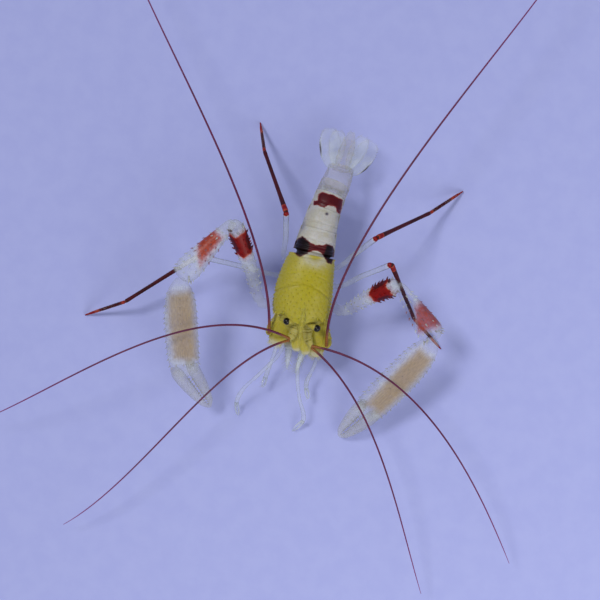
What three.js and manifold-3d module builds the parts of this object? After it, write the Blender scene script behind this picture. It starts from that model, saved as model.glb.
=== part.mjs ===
// A boxer shrimp, standing on its walking legs with both claws swept forward.
// Millimetres. The head points to -Y and the tail to +Y, and +Z is up. Left and right
// in the names are as seen from above with the tail up, so left is -X.
import * as THREE from 'three';
import Module from 'manifold-3d';

// Sizes shared by the whole animal.
const GAP = 0.3; // clear space between neighbouring plates
const BODY_LENGTH = 40; // rostrum tip to telson tip
const BACK_HEIGHT = 13.6; // top of the carapace above the floor
const CARAPACE_LENGTH = 0.27 * BODY_LENGTH;
const CARAPACE_WIDTH = 10.1;
const CARAPACE_DEPTH = 8.1;
const ROSTRUM_LENGTH = 0.13 * BODY_LENGTH;
const FLAGELLUM_RADIUS = 0.34;
const FOOT_RADIUS = 0.26; // the small flat under each toe

const COLORS = {
  yellow: { color: 0xcfc23a, roughness: 0.42, metalness: 0 },
  cream: { color: 0xe9e4c8, roughness: 0.42, metalness: 0 },
  maroon: { color: 0x5a1018, roughness: 0.4, metalness: 0 },
  claw: { color: 0xe8e2c6, roughness: 0.4, metalness: 0 },
  crimson: { color: 0xb02033, roughness: 0.45, metalness: 0 },
  clear: { color: 0xd9dde0, roughness: 0.35, metalness: 0 },
  dark_leg: { color: 0x38141a, roughness: 0.4, metalness: 0 },
  eye: { color: 0x0b0a0d, roughness: 0.15, metalness: 0 },
};

const MATERIALS = Object.fromEntries(
  Object.entries(COLORS).map(([name, look]) => [name, new THREE.MeshStandardMaterial(look)]),
);

const shrimp = new THREE.Group();

function place(name, geometry, material) {
  const mesh = new THREE.Mesh(geometry, MATERIALS[material]);
  mesh.name = name;
  shrimp.add(mesh);
  return mesh;
}

function at(x, y, z) {
  return new THREE.Vector3(x, y, z);
}

// ---------------------------------------------------------------- skins

// A ring of points in the plane of two unit vectors. squareness 2 is an ellipse.
function ring({ centre, side, up, halfWidth, halfHeight, sides, squareness = 2, bulge = () => 1 }) {
  const soften = (value) => Math.sign(value) * Math.abs(value) ** (2 / squareness);
  return Array.from({ length: sides }, (_, k) => {
    const angle = (2 * Math.PI * (k + 0.5)) / sides;
    const reach = bulge(angle);
    return centre
      .clone()
      .addScaledVector(side, halfWidth * reach * soften(Math.cos(angle)))
      .addScaledVector(up, halfHeight * reach * soften(Math.sin(angle)));
  });
}

function middle(points) {
  const sum = at(0, 0, 0);
  points.forEach((point) => sum.add(point));
  return sum.divideScalar(points.length);
}

// Raises a spine or a lobe from one four-sided facet. Each level holds how far it
// stands out, its size against the facet, and how far it drifts along the body.
function sprout(points, faces, facet, axis, levels) {
  const corners = facet.map((index) => points[index]);
  const centre = middle(corners);
  const out = centre.clone().sub(axis).normalize();
  let base = facet;
  levels.forEach(({ rise, size, drift = at(0, 0, 0) }) => {
    const lifted = centre.clone().addScaledVector(out, rise).add(drift);
    if (size === 0) {
      const tip = points.push(lifted) - 1;
      base.forEach((index, k) => faces.push([index, base[(k + 1) % 4], tip]));
      base = null;
      return;
    }
    const next = corners.map((corner) => {
      const spread = corner.clone().sub(centre).multiplyScalar(size);
      return points.push(spread.add(lifted)) - 1;
    });
    base.forEach((index, k) => {
      const after = (k + 1) % 4;
      faces.push([index, base[after], next[after]], [index, next[after], next[k]]);
    });
    base = next;
  });
  if (base) {
    faces.push([base[0], base[1], base[2]], [base[0], base[2], base[3]]);
  }
}

// A closed skin through equal rings. sprouts maps "ring:side" to sprout levels.
function loft(rings, sprouts = new Map()) {
  const sides = rings[0].length;
  const points = rings.flat();
  const faces = [];
  for (let row = 0; row + 1 < rings.length; row += 1) {
    const axis = middle([...rings[row], ...rings[row + 1]]);
    for (let k = 0; k < sides; k += 1) {
      const a = row * sides + k;
      const b = row * sides + ((k + 1) % sides);
      const levels = sprouts.get(`${row}:${k}`);
      if (levels) {
        sprout(points, faces, [a, b, b + sides, a + sides], axis, levels);
      } else {
        faces.push([a, b, b + sides], [a, b + sides, a + sides]);
      }
    }
  }
  const first = points.push(middle(rings[0])) - 1;
  const last = points.push(middle(rings[rings.length - 1])) - 1;
  const end = (rings.length - 1) * sides;
  for (let k = 0; k < sides; k += 1) {
    const after = (k + 1) % sides;
    faces.push([after, k, first], [end + k, end + after, last]);
  }
  return closed(points, faces);
}

// Builds the geometry, with its faces turned outwards.
function closed(points, faces) {
  const volume = faces.reduce((sum, [a, b, c]) => {
    const normal = points[b].clone().cross(points[c]);
    return sum + points[a].dot(normal);
  }, 0);
  const order = volume < 0 ? faces.map(([a, b, c]) => [a, c, b]) : faces;
  const geometry = new THREE.BufferGeometry();
  geometry.setAttribute(
    'position',
    new THREE.Float32BufferAttribute(points.flatMap((point) => point.toArray()), 3),
  );
  geometry.setIndex(order.flat());
  return geometry;
}

const wasm = await Module();
wasm.setup();

function toSolid(geometry) {
  return new wasm.Manifold(
    new wasm.Mesh({
      numProp: 3,
      vertProperties: new Float32Array(geometry.attributes.position.array),
      triVerts: new Uint32Array(geometry.index.array),
    }),
  );
}

function join(...geometries) {
  const joined = geometries.map(toSolid).reduce((sum, solid) => sum.add(solid));
  const mesh = joined.getMesh();
  const geometry = new THREE.BufferGeometry();
  geometry.setAttribute('position', new THREE.Float32BufferAttribute(mesh.vertProperties, 3));
  geometry.setIndex(Array.from(mesh.triVerts));
  return geometry;
}

// ---------------------------------------------------------------- limbs

// The three unit directions of a straight piece.
function frameAlong(from, to, up = at(0, 0, 1)) {
  const forward = to.clone().sub(from).normalize();
  const side = forward.clone().cross(up).normalize();
  return { forward, side, up: side.clone().cross(forward) };
}

// A straight limb piece. Each profile row is [place 0..1, half width, half height,
// shift sideways, shift upwards].
function segment(from, to, profile, { sides = 8, up, squareness = 2, sprouts, foot = false } = {}) {
  const frame = frameAlong(from, to, up);
  const rings = profile.map(([place, halfWidth, halfHeight, aside = 0, lift = 0]) =>
    ring({
      centre: from
        .clone()
        .lerp(to, place)
        .addScaledVector(frame.side, aside)
        .addScaledVector(frame.up, lift),
      side: frame.side,
      up: frame.up,
      halfWidth,
      halfHeight,
      sides,
      squareness,
    }),
  );
  if (foot) {
    rings.push(footRing(to, frame, sides));
  }
  return loft(rings, sprouts);
}

// The level ring that ends a toe on the floor.
function footRing(toe, frame, sides) {
  const ahead = at(frame.forward.x, frame.forward.y, 0).normalize();
  return ring({
    centre: at(toe.x, toe.y, 0),
    side: frame.side,
    up: ahead,
    halfWidth: FOOT_RADIUS,
    halfHeight: FOOT_RADIUS,
    sides,
  });
}

// How far a piece of this radius stops short of a bent joint, to clear the next one.
function jointTrim(before, joint, after, radius) {
  const arriving = joint.clone().sub(before).normalize();
  const leaving = after.clone().sub(joint).normalize();
  const turn = arriving.angleTo(leaving);
  return radius * Math.tan(Math.min(turn / 2, 1.05)) + GAP / 2;
}

function towards(from, to, distance) {
  return from.clone().addScaledVector(to.clone().sub(from).normalize(), distance);
}

// A slim piece that bends gently through several points.
function bentTube(stops, radii, { sides = 8, steps = 12, flat = 1, foot = false, sprouts } = {}) {
  const curve = new THREE.CatmullRomCurve3(stops, false, 'centripetal');
  const rings = [];
  for (let step = 0; step <= steps; step += 1) {
    const place = step / steps;
    const centre = curve.getPointAt(place);
    const ahead = curve.getTangentAt(place);
    const frame = frameAlong(centre, centre.clone().add(ahead));
    const slot = place * (radii.length - 1);
    const low = Math.min(Math.floor(slot), radii.length - 2);
    const radius = THREE.MathUtils.lerp(radii[low], radii[low + 1], slot - low);
    if (foot && step === steps) {
      rings.push(footRing(centre, frame, sides));
    } else {
      const { side, up } = frame;
      rings.push(ring({ centre, side, up, halfWidth: radius, halfHeight: radius * flat, sides }));
    }
  }
  return loft(rings, sprouts);
}

// ---------------------------------------------------------------- carapace

// Half width, depth and middle height of the carapace from its rear edge (0) to its
// front edge (1).
const CARAPACE_STATIONS = [
  { place: 0, width: 0.8, depth: 0.84, height: 9.7, shift: -0.05 },
  { place: 0.08, width: 0.84, depth: 0.93, height: 9.65, shift: -0.15 },
  { place: 0.3, width: 0.92, depth: 0.99, height: 9.6, shift: -0.35 },
  { place: 0.6, width: 1, depth: 1, height: 9.55, shift: -0.42 },
  { place: 0.85, width: 1, depth: 0.95, height: 9.5, shift: -0.35 },
  { place: 0.95, width: 0.97, depth: 0.88, height: 9.45, shift: -0.3 },
  { place: 1, width: 0.88, depth: 0.76, height: 9.4, shift: -0.25 },
];

function station(stations, place) {
  const next = Math.max(1, stations.findIndex((row) => row.place >= place));
  const low = stations[next - 1];
  const high = stations[next];
  const share = THREE.MathUtils.clamp((place - low.place) / (high.place - low.place), 0, 1);
  const mix = (key) => THREE.MathUtils.lerp(low[key], high[key], share);
  return { width: mix('width'), depth: mix('depth'), height: mix('height'), shift: mix('shift') };
}

// Forward spines on every other facet of the back, staggered from row to row.
function backSpines({ rows, lastFacet, height, lean }) {
  const levels = [
    { rise: 0, size: 0.45 },
    { rise: height, size: 0, drift: lean },
  ];
  const spines = new Map();
  rows.forEach((row) => {
    for (let k = (row + 1) % 2; k <= lastFacet; k += 2) {
      spines.set(`${row}:${k}`, levels);
    }
  });
  return spines;
}

function carapace() {
  const sides = 20;
  const rows = 11;
  const rings = [];
  for (let row = 0; row <= rows; row += 1) {
    const place = row / rows;
    const shape = station(CARAPACE_STATIONS, place);
    rings.push(
      ring({
        centre: at(shape.shift, -place * CARAPACE_LENGTH, shape.height),
        side: at(1, 0, 0),
        up: at(0, 0, 1),
        halfWidth: (shape.width * CARAPACE_WIDTH) / 2,
        halfHeight: (shape.depth * CARAPACE_DEPTH) / 2,
        sides,
        squareness: 2.15,
      }),
    );
  }
  const spines = backSpines({
    rows: [2, 4, 6, 8, 9],
    lastFacet: 8,
    height: 0.45,
    lean: at(0, -0.4, 0),
  });
  return join(loft(rings, spines), rostrum());
}

function rostrum() {
  const root = at(0.1, -0.85 * CARAPACE_LENGTH, BACK_HEIGHT - 1.2);
  const tip = at(0.35, -CARAPACE_LENGTH - ROSTRUM_LENGTH, BACK_HEIGHT - 0.9);
  const profile = [
    [0, 1, 0.7],
    [0.25, 0.95, 0.66],
    [0.4, 0.72, 0.5],
    [0.55, 0.56, 0.42],
    [0.7, 0.42, 0.34],
    [0.85, 0.3, 0.26],
    [1, 0.12, 0.12],
  ];
  const teeth = new Map();
  [1, 2, 3, 4].forEach((row) => {
    const levels = [
      { rise: 0, size: 0.6 },
      { rise: 0.4, size: 0, drift: at(0, -0.35, 0) },
    ];
    teeth.set(`${row}:1`, levels);
    teeth.set(`${row}:2`, levels);
  });
  return segment(root, tip, profile, { sides: 8, sprouts: teeth });
}

// ---------------------------------------------------------------- abdomen

// The abdomen's middle line, from the first somite back to the telson's tip.
const TAIL_LINE = new THREE.CatmullRomCurve3([
  at(0.05, 0, 9.7),
  at(0.5, 6.6, 9.5),
  at(1.35, 11.3, 8.9),
  at(2.1, 14.6, 7.9),
  at(2.35, 17.4, 7.1),
  at(2.6, 23.6, 5.6),
]);

// Each somite's rear edge along the abdomen, and its half width and half height.
const SOMITES = [
  { start: 2 * GAP, end: 1.8, width: 3.6, height: 3.1, pleopods: 0 },
  { start: 1.8, end: 4.6, width: 3.5, height: 3.05, pleopods: 2.6 },
  { start: 4.6, end: 8.2, width: 3.1, height: 2.85, pleopods: 2.8 },
  { start: 8.2, end: 11, width: 2.75, height: 2.6, pleopods: 2.6 },
  { start: 11, end: 13.1, width: 2.65, height: 2.3, pleopods: 2.2 },
  { start: 13.1, end: 16.3, width: 2.6, height: 2, pleopods: 0 },
];

function onTailLine(y) {
  let low = 0;
  let high = 1;
  for (let turn = 0; turn < 30; turn += 1) {
    const half = (low + high) / 2;
    if (TAIL_LINE.getPoint(half).y < y) {
      low = half;
    } else {
      high = half;
    }
  }
  return { centre: TAIL_LINE.getPoint(low), ahead: TAIL_LINE.getTangent(low) };
}

// The pleura hang a little below the sides of each somite.
function pleura(angle) {
  const below = Math.abs(Math.abs(angle - 1.5 * Math.PI) - 0.95);
  return 1 + 0.13 * Math.max(0, 1 - below / 0.45);
}

function somite(index) {
  const { start, end, width, height, pleopods } = SOMITES[index];
  const after = SOMITES[index + 1] ?? { width: 2.1, height: 1.4 };
  const sides = 16;
  const rows = 4;
  const rings = [];
  for (let row = 0; row <= rows; row += 1) {
    const place = row / rows;
    const y = THREE.MathUtils.lerp(start, end - GAP, place);
    const { centre, ahead } = onTailLine(y);
    const frame = frameAlong(centre, centre.clone().add(ahead));
    const crown = 1 - 0.06 * (2 * place - 1) ** 2;
    rings.push(
      ring({
        centre,
        side: frame.side,
        up: frame.up,
        halfWidth: THREE.MathUtils.lerp(width, after.width, 0.7 * place) * crown,
        halfHeight: THREE.MathUtils.lerp(height, after.height, 0.7 * place) * crown,
        sides,
        squareness: 2.1,
        bulge: pleura,
      }),
    );
  }
  const paddles = new Map();
  if (pleopods > 0) {
    const levels = [
      { rise: 0.5, size: 0.75 },
      { rise: 0.6 * pleopods, size: 1.05, drift: at(0, 0.4, 0) },
      { rise: pleopods, size: 0.45, drift: at(0, 0.9, 0) },
    ];
    paddles.set('2:10', levels);
    paddles.set('2:12', levels);
  }
  return loft(rings, paddles);
}

// ---------------------------------------------------------------- tail fan

// A thin leaf-shaped blade, rounded at its far end.
function blade({ root, heading, length, width, thickness, drop, shape = 0.6 }) {
  const turn = THREE.MathUtils.degToRad(heading);
  const tip = root.clone().add(at(length * Math.sin(turn), length * Math.cos(turn), -drop));
  const rows = 7;
  const profile = Array.from({ length: rows + 1 }, (_, row) => {
    const place = row / rows;
    const leaf = Math.sin(Math.PI * (0.15 + 0.8 * place)) ** shape;
    return [place, (width / 2) * leaf, (thickness / 2) * (1 - 0.3 * place)];
  });
  return segment(root, tip, profile, { sides: 8, squareness: 2.2 });
}

function tailFan() {
  const heading = 7;
  const root = onTailLine(SOMITES[5].end + GAP).centre;
  place(
    'telson',
    blade({ root, heading, length: 6.4, width: 2.8, thickness: 0.9, drop: 1.4, shape: 0.9 }),
    'cream',
  );
  [
    ['left', -1],
    ['right', 1],
  ].forEach(([name, hand]) => {
    place(
      `uropod_endopod_${name}`,
      blade({
        root: root.clone().add(at(hand * 1.1, -0.1, -0.9)),
        heading: heading + hand * 11,
        length: 6.3,
        width: 2.8,
        thickness: 0.52,
        drop: 1.2,
      }),
      'clear',
    );
    place(
      `uropod_exopod_${name}`,
      blade({
        root: root.clone().add(at(hand * 2.1, -hand * 0.3, -1.8)),
        heading: heading + hand * 17,
        length: 6.2,
        width: 3.6,
        thickness: 0.52,
        drop: 1.1,
      }),
      'clear',
    );
  });
}

// ---------------------------------------------------------------- head

const EYE_RADIUS = 0.62;
const HEAD = {
  left: {
    hand: -1,
    stalk: [at(-0.85, -11.9, 11.35), at(-1.75, -11.98, 11.45)],
    eye: at(-2.45, -12.05, 11.5),
    antennule: [at(-0.7, -11.5, 9.6), at(-0.95, -13.9, 9.6), at(-1.35, -15.05, 9.5)],
    scale: { root: at(-3.1, -11.5, 8.8), heading: 189, length: 5 },
    antenna: [at(-3.9, -11.3, 7.1), at(-4.5, -12.7, 7.2), at(-5.25, -14.1, 7.9)],
    maxilliped: [at(-0.8, -10.6, 4.7), at(-1.5, -13.8, 4.2), at(-1.2, -17.6, 4.6), at(-1, -20.6, 3.6)],
  },
  right: {
    hand: 1,
    stalk: [at(1.4, -12.0, 11.35), at(2.25, -12.2, 11.45)],
    eye: at(2.95, -12.35, 11.5),
    antennule: [at(1.1, -11.5, 9.6), at(1.65, -14.2, 9.6), at(2.45, -15.6, 9.5)],
    scale: { root: at(3.2, -11.5, 8.8), heading: 172, length: 5.6 },
    antenna: [at(4, -11.3, 7.1), at(4.65, -12.9, 7.2), at(5.4, -14.5, 7.9)],
    maxilliped: [at(1.2, -10.6, 4.7), at(1.9, -13.8, 4.2), at(1.1, -17.9, 4.4), at(0.6, -21, 3.4)],
  },
};

function head() {
  Object.entries(HEAD).forEach(([name, parts]) => {
    const eye = new THREE.SphereGeometry(EYE_RADIUS, 10, 7);
    eye.scale(0.85, 1, 1);
    place(`eye_${name}`, eye, 'eye').position.copy(parts.eye);
    const stalk = [
      [0, 0.3, 0.32],
      [0.4, 0.42, 0.42],
      [1, 0.36, 0.38],
    ];
    place(`eyestalk_${name}`, segment(parts.stalk[0], parts.stalk[1], stalk), 'clear');
    place(
      `antennule_${name}`,
      bentTube(parts.antennule, [0.72, 0.82, 0.7, 0.72, 0.6, 0.5], { steps: 8, flat: 0.9 }),
      'yellow',
    );
    place(
      `antenna_scale_${name}`,
      blade({ ...parts.scale, width: 2.4, thickness: 0.5, drop: 1 }),
      'yellow',
    );
    place(`antenna_${name}`, bentTube(parts.antenna, [0.68, 0.74, 0.66, 0.5], { steps: 6 }), 'yellow');
    place(
      `maxilliped_${name}`,
      bentTube(parts.maxilliped, [0.62, 0.75, 0.6, 0.62, 0.45, 0.28], { steps: 10 }),
      'clear',
    );
  });
}

// Each flagellum is one smooth curve, parted into lengths.
const FLAGELLA = [
  {
    name: 'antennule_left_upper',
    curve: [at(-1.95, -15.2, 10.1), at(-19, -9.2, 19), at(-38, -29.6, 17), at(-52.5, -38.6, 6)],
  },
  {
    name: 'antennule_left_lower',
    curve: [at(-1.9, -15.8, 9), at(-13.4, -20.1, 13), at(-22.7, -44.1, 11), at(-35.4, -54.7, 4)],
  },
  {
    name: 'antennule_right_upper',
    curve: [at(3.1, -15.8, 10), at(21.6, -15.6, 15), at(33.9, -32.2, 14), at(44.1, -47.8, 3.5)],
  },
  {
    name: 'antennule_right_lower',
    curve: [at(3.1, -16.3, 9), at(15.8, -23.1, 13), at(22.6, -42.3, 11), at(29.5, -55.8, 4)],
  },
  {
    name: 'antenna_left_flagellum',
    curve: [at(-5.2, -14.7, 9.1), at(-6.8, 3.6, 19), at(-32.8, 31.8, 16), at(-43.4, 50.5, 12)],
  },
  {
    name: 'antenna_right_flagellum',
    curve: [at(5.2, -15.2, 9.1), at(1.4, 2.7, 19), at(27.3, 41.2, 16), at(35.3, 60.4, 12)],
  },
];
const FLAGELLUM_LENGTHS = 2;
const FLAGELLUM_STEPS = 9;

function flagella() {
  FLAGELLA.forEach(({ name, curve }) => {
    const bezier = new THREE.CubicBezierCurve3(...curve);
    const wholeLength = bezier.getLength();
    for (let part = 0; part < FLAGELLUM_LENGTHS; part += 1) {
      const start = part / FLAGELLUM_LENGTHS + (part > 0 ? GAP / wholeLength : 0);
      const end = (part + 1) / FLAGELLUM_LENGTHS;
      const rings = [];
      for (let step = 0; step <= FLAGELLUM_STEPS; step += 1) {
        const place = THREE.MathUtils.lerp(start, end, step / FLAGELLUM_STEPS);
        const centre = bezier.getPointAt(place);
        const frame = frameAlong(centre, centre.clone().add(bezier.getTangentAt(place)));
        const radius = FLAGELLUM_RADIUS * (1 - 0.25 * place);
        const { side, up } = frame;
        rings.push(ring({ centre, side, up, halfWidth: radius, halfHeight: radius, sides: 6 }));
      }
      place(`${name}_${part + 1}`, loft(rings), 'crimson');
    }
  });
}

// ---------------------------------------------------------------- legs

const SLIM_LEGS = {
  leg_1_left: {
    stops: [
      at(-1.5, -8.9, 3.9),
      at(-3.1, -12.3, 3.2),
      at(-3.7, -18.2, 3.9),
      at(-4.4, -22, 2.8),
      at(-4.7, -24.6, 2.4),
    ],
    radii: [0.45, 0.42, 0.36, 0.34, 0.42, 0.25],
  },
  leg_1_right: {
    stops: [
      at(1.9, -8.9, 3.9),
      at(3.4, -12.3, 3.2),
      at(3.8, -18.4, 3.9),
      at(2.9, -22.6, 3),
      at(3.7, -25.2, 2.6),
    ],
    radii: [0.45, 0.42, 0.36, 0.34, 0.42, 0.25],
  },
  leg_2_left: {
    stops: [
      at(-2.4, -7.7, 4.5),
      at(-3.4, -11, 5.7),
      at(-2.5, -17, 6.1),
      at(-5.3, -21.7, 6),
      at(-8, -25.3, 4.4),
      at(-8.8, -27.9, 2.4),
      at(-8.2, -30.5, 0),
    ],
    radii: [0.5, 0.45, 0.4, 0.36, 0.36, 0.45, 0.3],
    foot: true,
  },
  leg_2_right: {
    stops: [
      at(2.7, -7.7, 4.5),
      at(3.7, -11, 5.7),
      at(0.9, -18.6, 6.1),
      at(1.2, -22, 6),
      at(2.1, -25.2, 4.4),
      at(3.5, -29, 2),
      at(1.9, -31.6, 0),
    ],
    radii: [0.5, 0.45, 0.4, 0.36, 0.36, 0.45, 0.3],
    foot: true,
  },
};

function slimLegs() {
  Object.entries(SLIM_LEGS).forEach(([name, { stops, radii, foot }]) => {
    place(name, bentTube(stops, radii, { steps: 12, sides: 6, foot }), 'clear');
  });
}

// Joints of the walking legs: root, bend beside the body, knee, ankle and toe.
const WALKING_LEGS = {
  leg_4_left: [at(-2.2, -3.6, 4.5), at(-4.9, -4.3, 5.6), at(-19.8, -3.5, 10), at(-31.4, -13.7, 5), at(-38.5, -17.4, 0)],
  leg_4_right: [at(2.4, -3.4, 4.4), at(5, -4.5, 5.4), at(13.7, 0.8, 16), at(19.8, -7.8, 4.5), at(25.7, -12.3, 0)],
  leg_5_left: [at(-1.9, -1.5, 4.5), at(-4.6, -1.2, 6.2), at(-5.8, 6.5, 17), at(-11.6, 16.9, 6.5), at(-13.4, 22.2, 0)],
  leg_5_right: [at(2.1, -1.5, 4.5), at(4.5, -1.3, 6.2), at(10.4, 4.9, 16), at(19.3, 11.3, 4.5), at(24.7, 16.4, 0)],
};
const MERUS_RADIUS = 0.55;
const CARPUS_RADIUS = 0.42;
const TOE_RADIUS = 0.3;

function walkingLeg(name, [root, bend, knee, ankle, toe]) {
  const kneeTrim = jointTrim(bend, knee, ankle, 0.5);
  const ankleTrim = jointTrim(knee, ankle, toe, TOE_RADIUS);
  const radii = [0.6, 0.55, MERUS_RADIUS, MERUS_RADIUS, 0.95 * MERUS_RADIUS, 0.42];
  const stops = [root, bend, bend.clone().lerp(knee, 0.5), towards(knee, bend, kneeTrim)];
  place(`${name}_merus`, bentTube(stops, radii, { steps: 9 }), 'clear');
  const carpus = [
    [0, 0.42, 0.42],
    [0.08, 0.5, 0.5],
    [0.25, CARPUS_RADIUS, CARPUS_RADIUS],
    [0.85, 0.36, 0.36],
    [1, 0.32, 0.32],
  ];
  const carpusEnds = [towards(knee, ankle, kneeTrim), towards(ankle, knee, ankleTrim)];
  place(`${name}_carpus`, segment(carpusEnds[0], carpusEnds[1], carpus), 'dark_leg');
  const propodus = [
    [0, TOE_RADIUS, TOE_RADIUS],
    [0.4, 0.32, 0.32],
    [0.85, 0.27, 0.27],
  ];
  place(
    `${name}_propodus`,
    segment(towards(ankle, toe, ankleTrim), toe, propodus, { foot: true }),
    'dark_leg',
  );
}

// ---------------------------------------------------------------- claws

// Joints of the great claws: root, elbow beside the head, knee, wrist, finger root
// and finger tip. inner says on which side of the palm the movable finger lies.
const CLAWS = {
  left: {
    inner: -1,
    joints: [
      at(-2.5, -5.5, 4.5),
      at(-7, -9.7, 7.4),
      at(-14.5, 3.4, 16),
      at(-22, -7.8, 15),
      at(-18.7, -23.6, 9.5),
      at(-13.1, -29.7, 4),
    ],
  },
  right: {
    inner: 1,
    joints: [
      at(2.9, -5.3, 4.5),
      at(6.4, -8.6, 7.4),
      at(15.5, -2.3, 13.5),
      at(23.8, -10.7, 11),
      at(14.3, -25.4, 5),
      at(10.2, -31, 1.4),
    ],
  },
};
const PALM = { width: 5.8, height: 3.4 };
const FINGER = { width: 2.3, height: 2.1, spread: 1.4 };

function clawSpines(rows, sidesAt, height) {
  const spines = new Map();
  const levels = [
    { rise: 0, size: 0.4 },
    { rise: height, size: 0 },
  ];
  rows.forEach((row) => sidesAt.forEach((k) => spines.set(`${row}:${k}`, levels)));
  return spines;
}

function claw(name, { inner, joints }) {
  const [root, elbow, knee, wrist, fingerRoot, tip] = joints;
  const kneeTrim = jointTrim(elbow, knee, wrist, 0.9);
  const wristTrim = jointTrim(knee, wrist, fingerRoot, 1.25);
  const arm = bentTube(
    [root, elbow, elbow.clone().lerp(knee, 0.5), towards(knee, elbow, kneeTrim)],
    [0.7, 0.8, 0.95, 0.95, 1.15, 1.4, 1.6, 0.8],
    { steps: 15, sprouts: clawSpines([8, 10, 12], [1, 2], 0.5) },
  );
  place(`claw_${name}_arm`, arm, 'claw');
  const wristPiece = [
    [0, 0.8, 0.75],
    [0.1, 1.05, 1],
    [0.35, 1.45, 1.3],
    [0.6, 1.95, 1.6],
    [0.8, 2.2, 1.75],
    [0.93, 1.9, 1.5],
    [1, 1.15, 1.1],
  ];
  place(
    `claw_${name}_wrist`,
    segment(towards(knee, wrist, kneeTrim), towards(wrist, knee, wristTrim), wristPiece, {
      sides: 10,
      squareness: 2.3,
      sprouts: clawSpines([2, 3, 4], [1, 3, 4, 9], 0.5),
    }),
    'claw',
  );
  palmAndFinger(name, inner, towards(wrist, fingerRoot, wristTrim), fingerRoot, tip);
}

// Rings of the palm, then of the fixed finger on its outer side, in one skin.
function palmAndFinger(name, inner, start, fingerRoot, tip) {
  const sides = 12;
  const palmFrame = frameAlong(start, fingerRoot);
  const fingerFrame = frameAlong(fingerRoot, tip);
  const palmLength = start.distanceTo(fingerRoot);
  const fingerLength = fingerRoot.distanceTo(tip);
  const section = (frame, origin, along, aside, width, height, squareness = 2.4) =>
    ring({
      centre: origin
        .clone()
        .addScaledVector(frame.forward, along)
        .addScaledVector(frame.side, aside),
      side: frame.side,
      up: frame.up,
      halfWidth: width / 2,
      halfHeight: height / 2,
      sides,
      squareness,
    });
  const palmRows = [
    [0, 0.4, 0.58],
    [0.07, 0.62, 0.75],
    [0.2, 0.85, 0.92],
    [0.35, 0.97, 1],
    [0.5, 1, 1],
    [0.65, 1, 0.97],
    [0.8, 0.97, 0.9],
    [0.94, 0.9, 0.8],
  ].map(([place, width, height]) =>
    section(palmFrame, start, place * palmLength, 0, width * PALM.width, height * PALM.height),
  );
  const fixedRows = [0, 0.25, 0.5, 0.75, 0.92, 1].map((place) => {
    const taper = Math.sqrt(1 - 0.94 * place * place);
    const aside = -inner * THREE.MathUtils.lerp(FINGER.spread, 0.5, place ** 1.5);
    const along = THREE.MathUtils.lerp(0.8, fingerLength, place);
    const width = FINGER.width * taper;
    return section(fingerFrame, fingerRoot, along, aside, width, FINGER.height * taper, 2);
  });
  const edge = clawSpines([2, 3, 4, 5, 6], [0, 3, 5, 11], 0.45);
  place(`claw_${name}_palm`, loft([...palmRows, ...fixedRows], edge), 'claw');

  const movableRows = [0, 0.25, 0.5, 0.75, 0.92, 1].map((place) => {
    const taper = Math.sqrt(1 - 0.94 * place * place);
    const aside = inner * THREE.MathUtils.lerp(FINGER.spread, 0.55, place ** 1.5);
    const along = THREE.MathUtils.lerp(0.8 + 3 * GAP, fingerLength - 0.1, place);
    const width = 0.95 * FINGER.width * taper;
    return section(fingerFrame, fingerRoot, along, aside, width, FINGER.height * taper, 2);
  });
  place(`claw_${name}_finger`, loft(movableRows), 'claw');
}

// ---------------------------------------------------------------- assembly

place('carapace', carapace(), 'yellow');
SOMITES.forEach((_, index) => {
  place(`somite_${index + 1}`, somite(index), index === 1 ? 'maroon' : 'cream');
});
tailFan();
head();
flagella();
slimLegs();
Object.entries(WALKING_LEGS).forEach(([name, joints]) => walkingLeg(name, joints));
Object.entries(CLAWS).forEach(([name, parts]) => claw(name, parts));

// The origin is the middle of the animal's footprint, on the floor.
const bounds = new THREE.Box3().setFromObject(shrimp);
const centre = bounds.getCenter(at(0, 0, 0));
shrimp.position.set(-centre.x, -centre.y, -bounds.min.z);

export default shrimp;
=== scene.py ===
"""A cleaner shrimp (a golden boxer shrimp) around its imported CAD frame.

Everything is placed in millimetres in the animal's own frame: head to -Y, tail to +Y, +Z up,
rear edge of the carapace at Y = 0. SHIFT takes that frame to the CAD's.
"""

import math

import bpy
import numpy as np
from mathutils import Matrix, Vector


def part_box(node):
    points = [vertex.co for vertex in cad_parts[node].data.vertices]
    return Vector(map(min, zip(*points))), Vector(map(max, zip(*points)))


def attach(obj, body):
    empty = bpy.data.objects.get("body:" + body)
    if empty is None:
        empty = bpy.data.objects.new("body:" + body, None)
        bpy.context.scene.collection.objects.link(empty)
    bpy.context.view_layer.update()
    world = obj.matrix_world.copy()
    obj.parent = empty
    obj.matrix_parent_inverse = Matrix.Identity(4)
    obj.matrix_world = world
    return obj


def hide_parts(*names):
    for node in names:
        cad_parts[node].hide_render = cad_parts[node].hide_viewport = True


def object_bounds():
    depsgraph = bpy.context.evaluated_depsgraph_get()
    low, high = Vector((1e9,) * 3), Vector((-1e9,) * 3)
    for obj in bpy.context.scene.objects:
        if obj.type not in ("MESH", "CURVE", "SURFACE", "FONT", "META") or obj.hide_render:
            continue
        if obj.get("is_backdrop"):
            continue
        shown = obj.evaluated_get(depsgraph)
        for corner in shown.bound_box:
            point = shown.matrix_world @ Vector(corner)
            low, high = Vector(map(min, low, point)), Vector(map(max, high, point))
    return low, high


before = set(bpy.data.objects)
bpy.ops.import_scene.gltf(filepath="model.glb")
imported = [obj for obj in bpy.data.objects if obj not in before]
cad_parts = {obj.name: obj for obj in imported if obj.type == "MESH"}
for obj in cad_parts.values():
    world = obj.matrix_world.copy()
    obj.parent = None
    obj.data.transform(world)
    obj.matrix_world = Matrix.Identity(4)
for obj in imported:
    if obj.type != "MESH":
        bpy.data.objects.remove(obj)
cad_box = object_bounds()

MM = 0.001
TAU = 2 * math.pi
UP = np.array([0.0, 0.0, 1.0])
HANDS = {"left": -1, "right": 1}
draw = np.random.default_rng(41)


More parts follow.
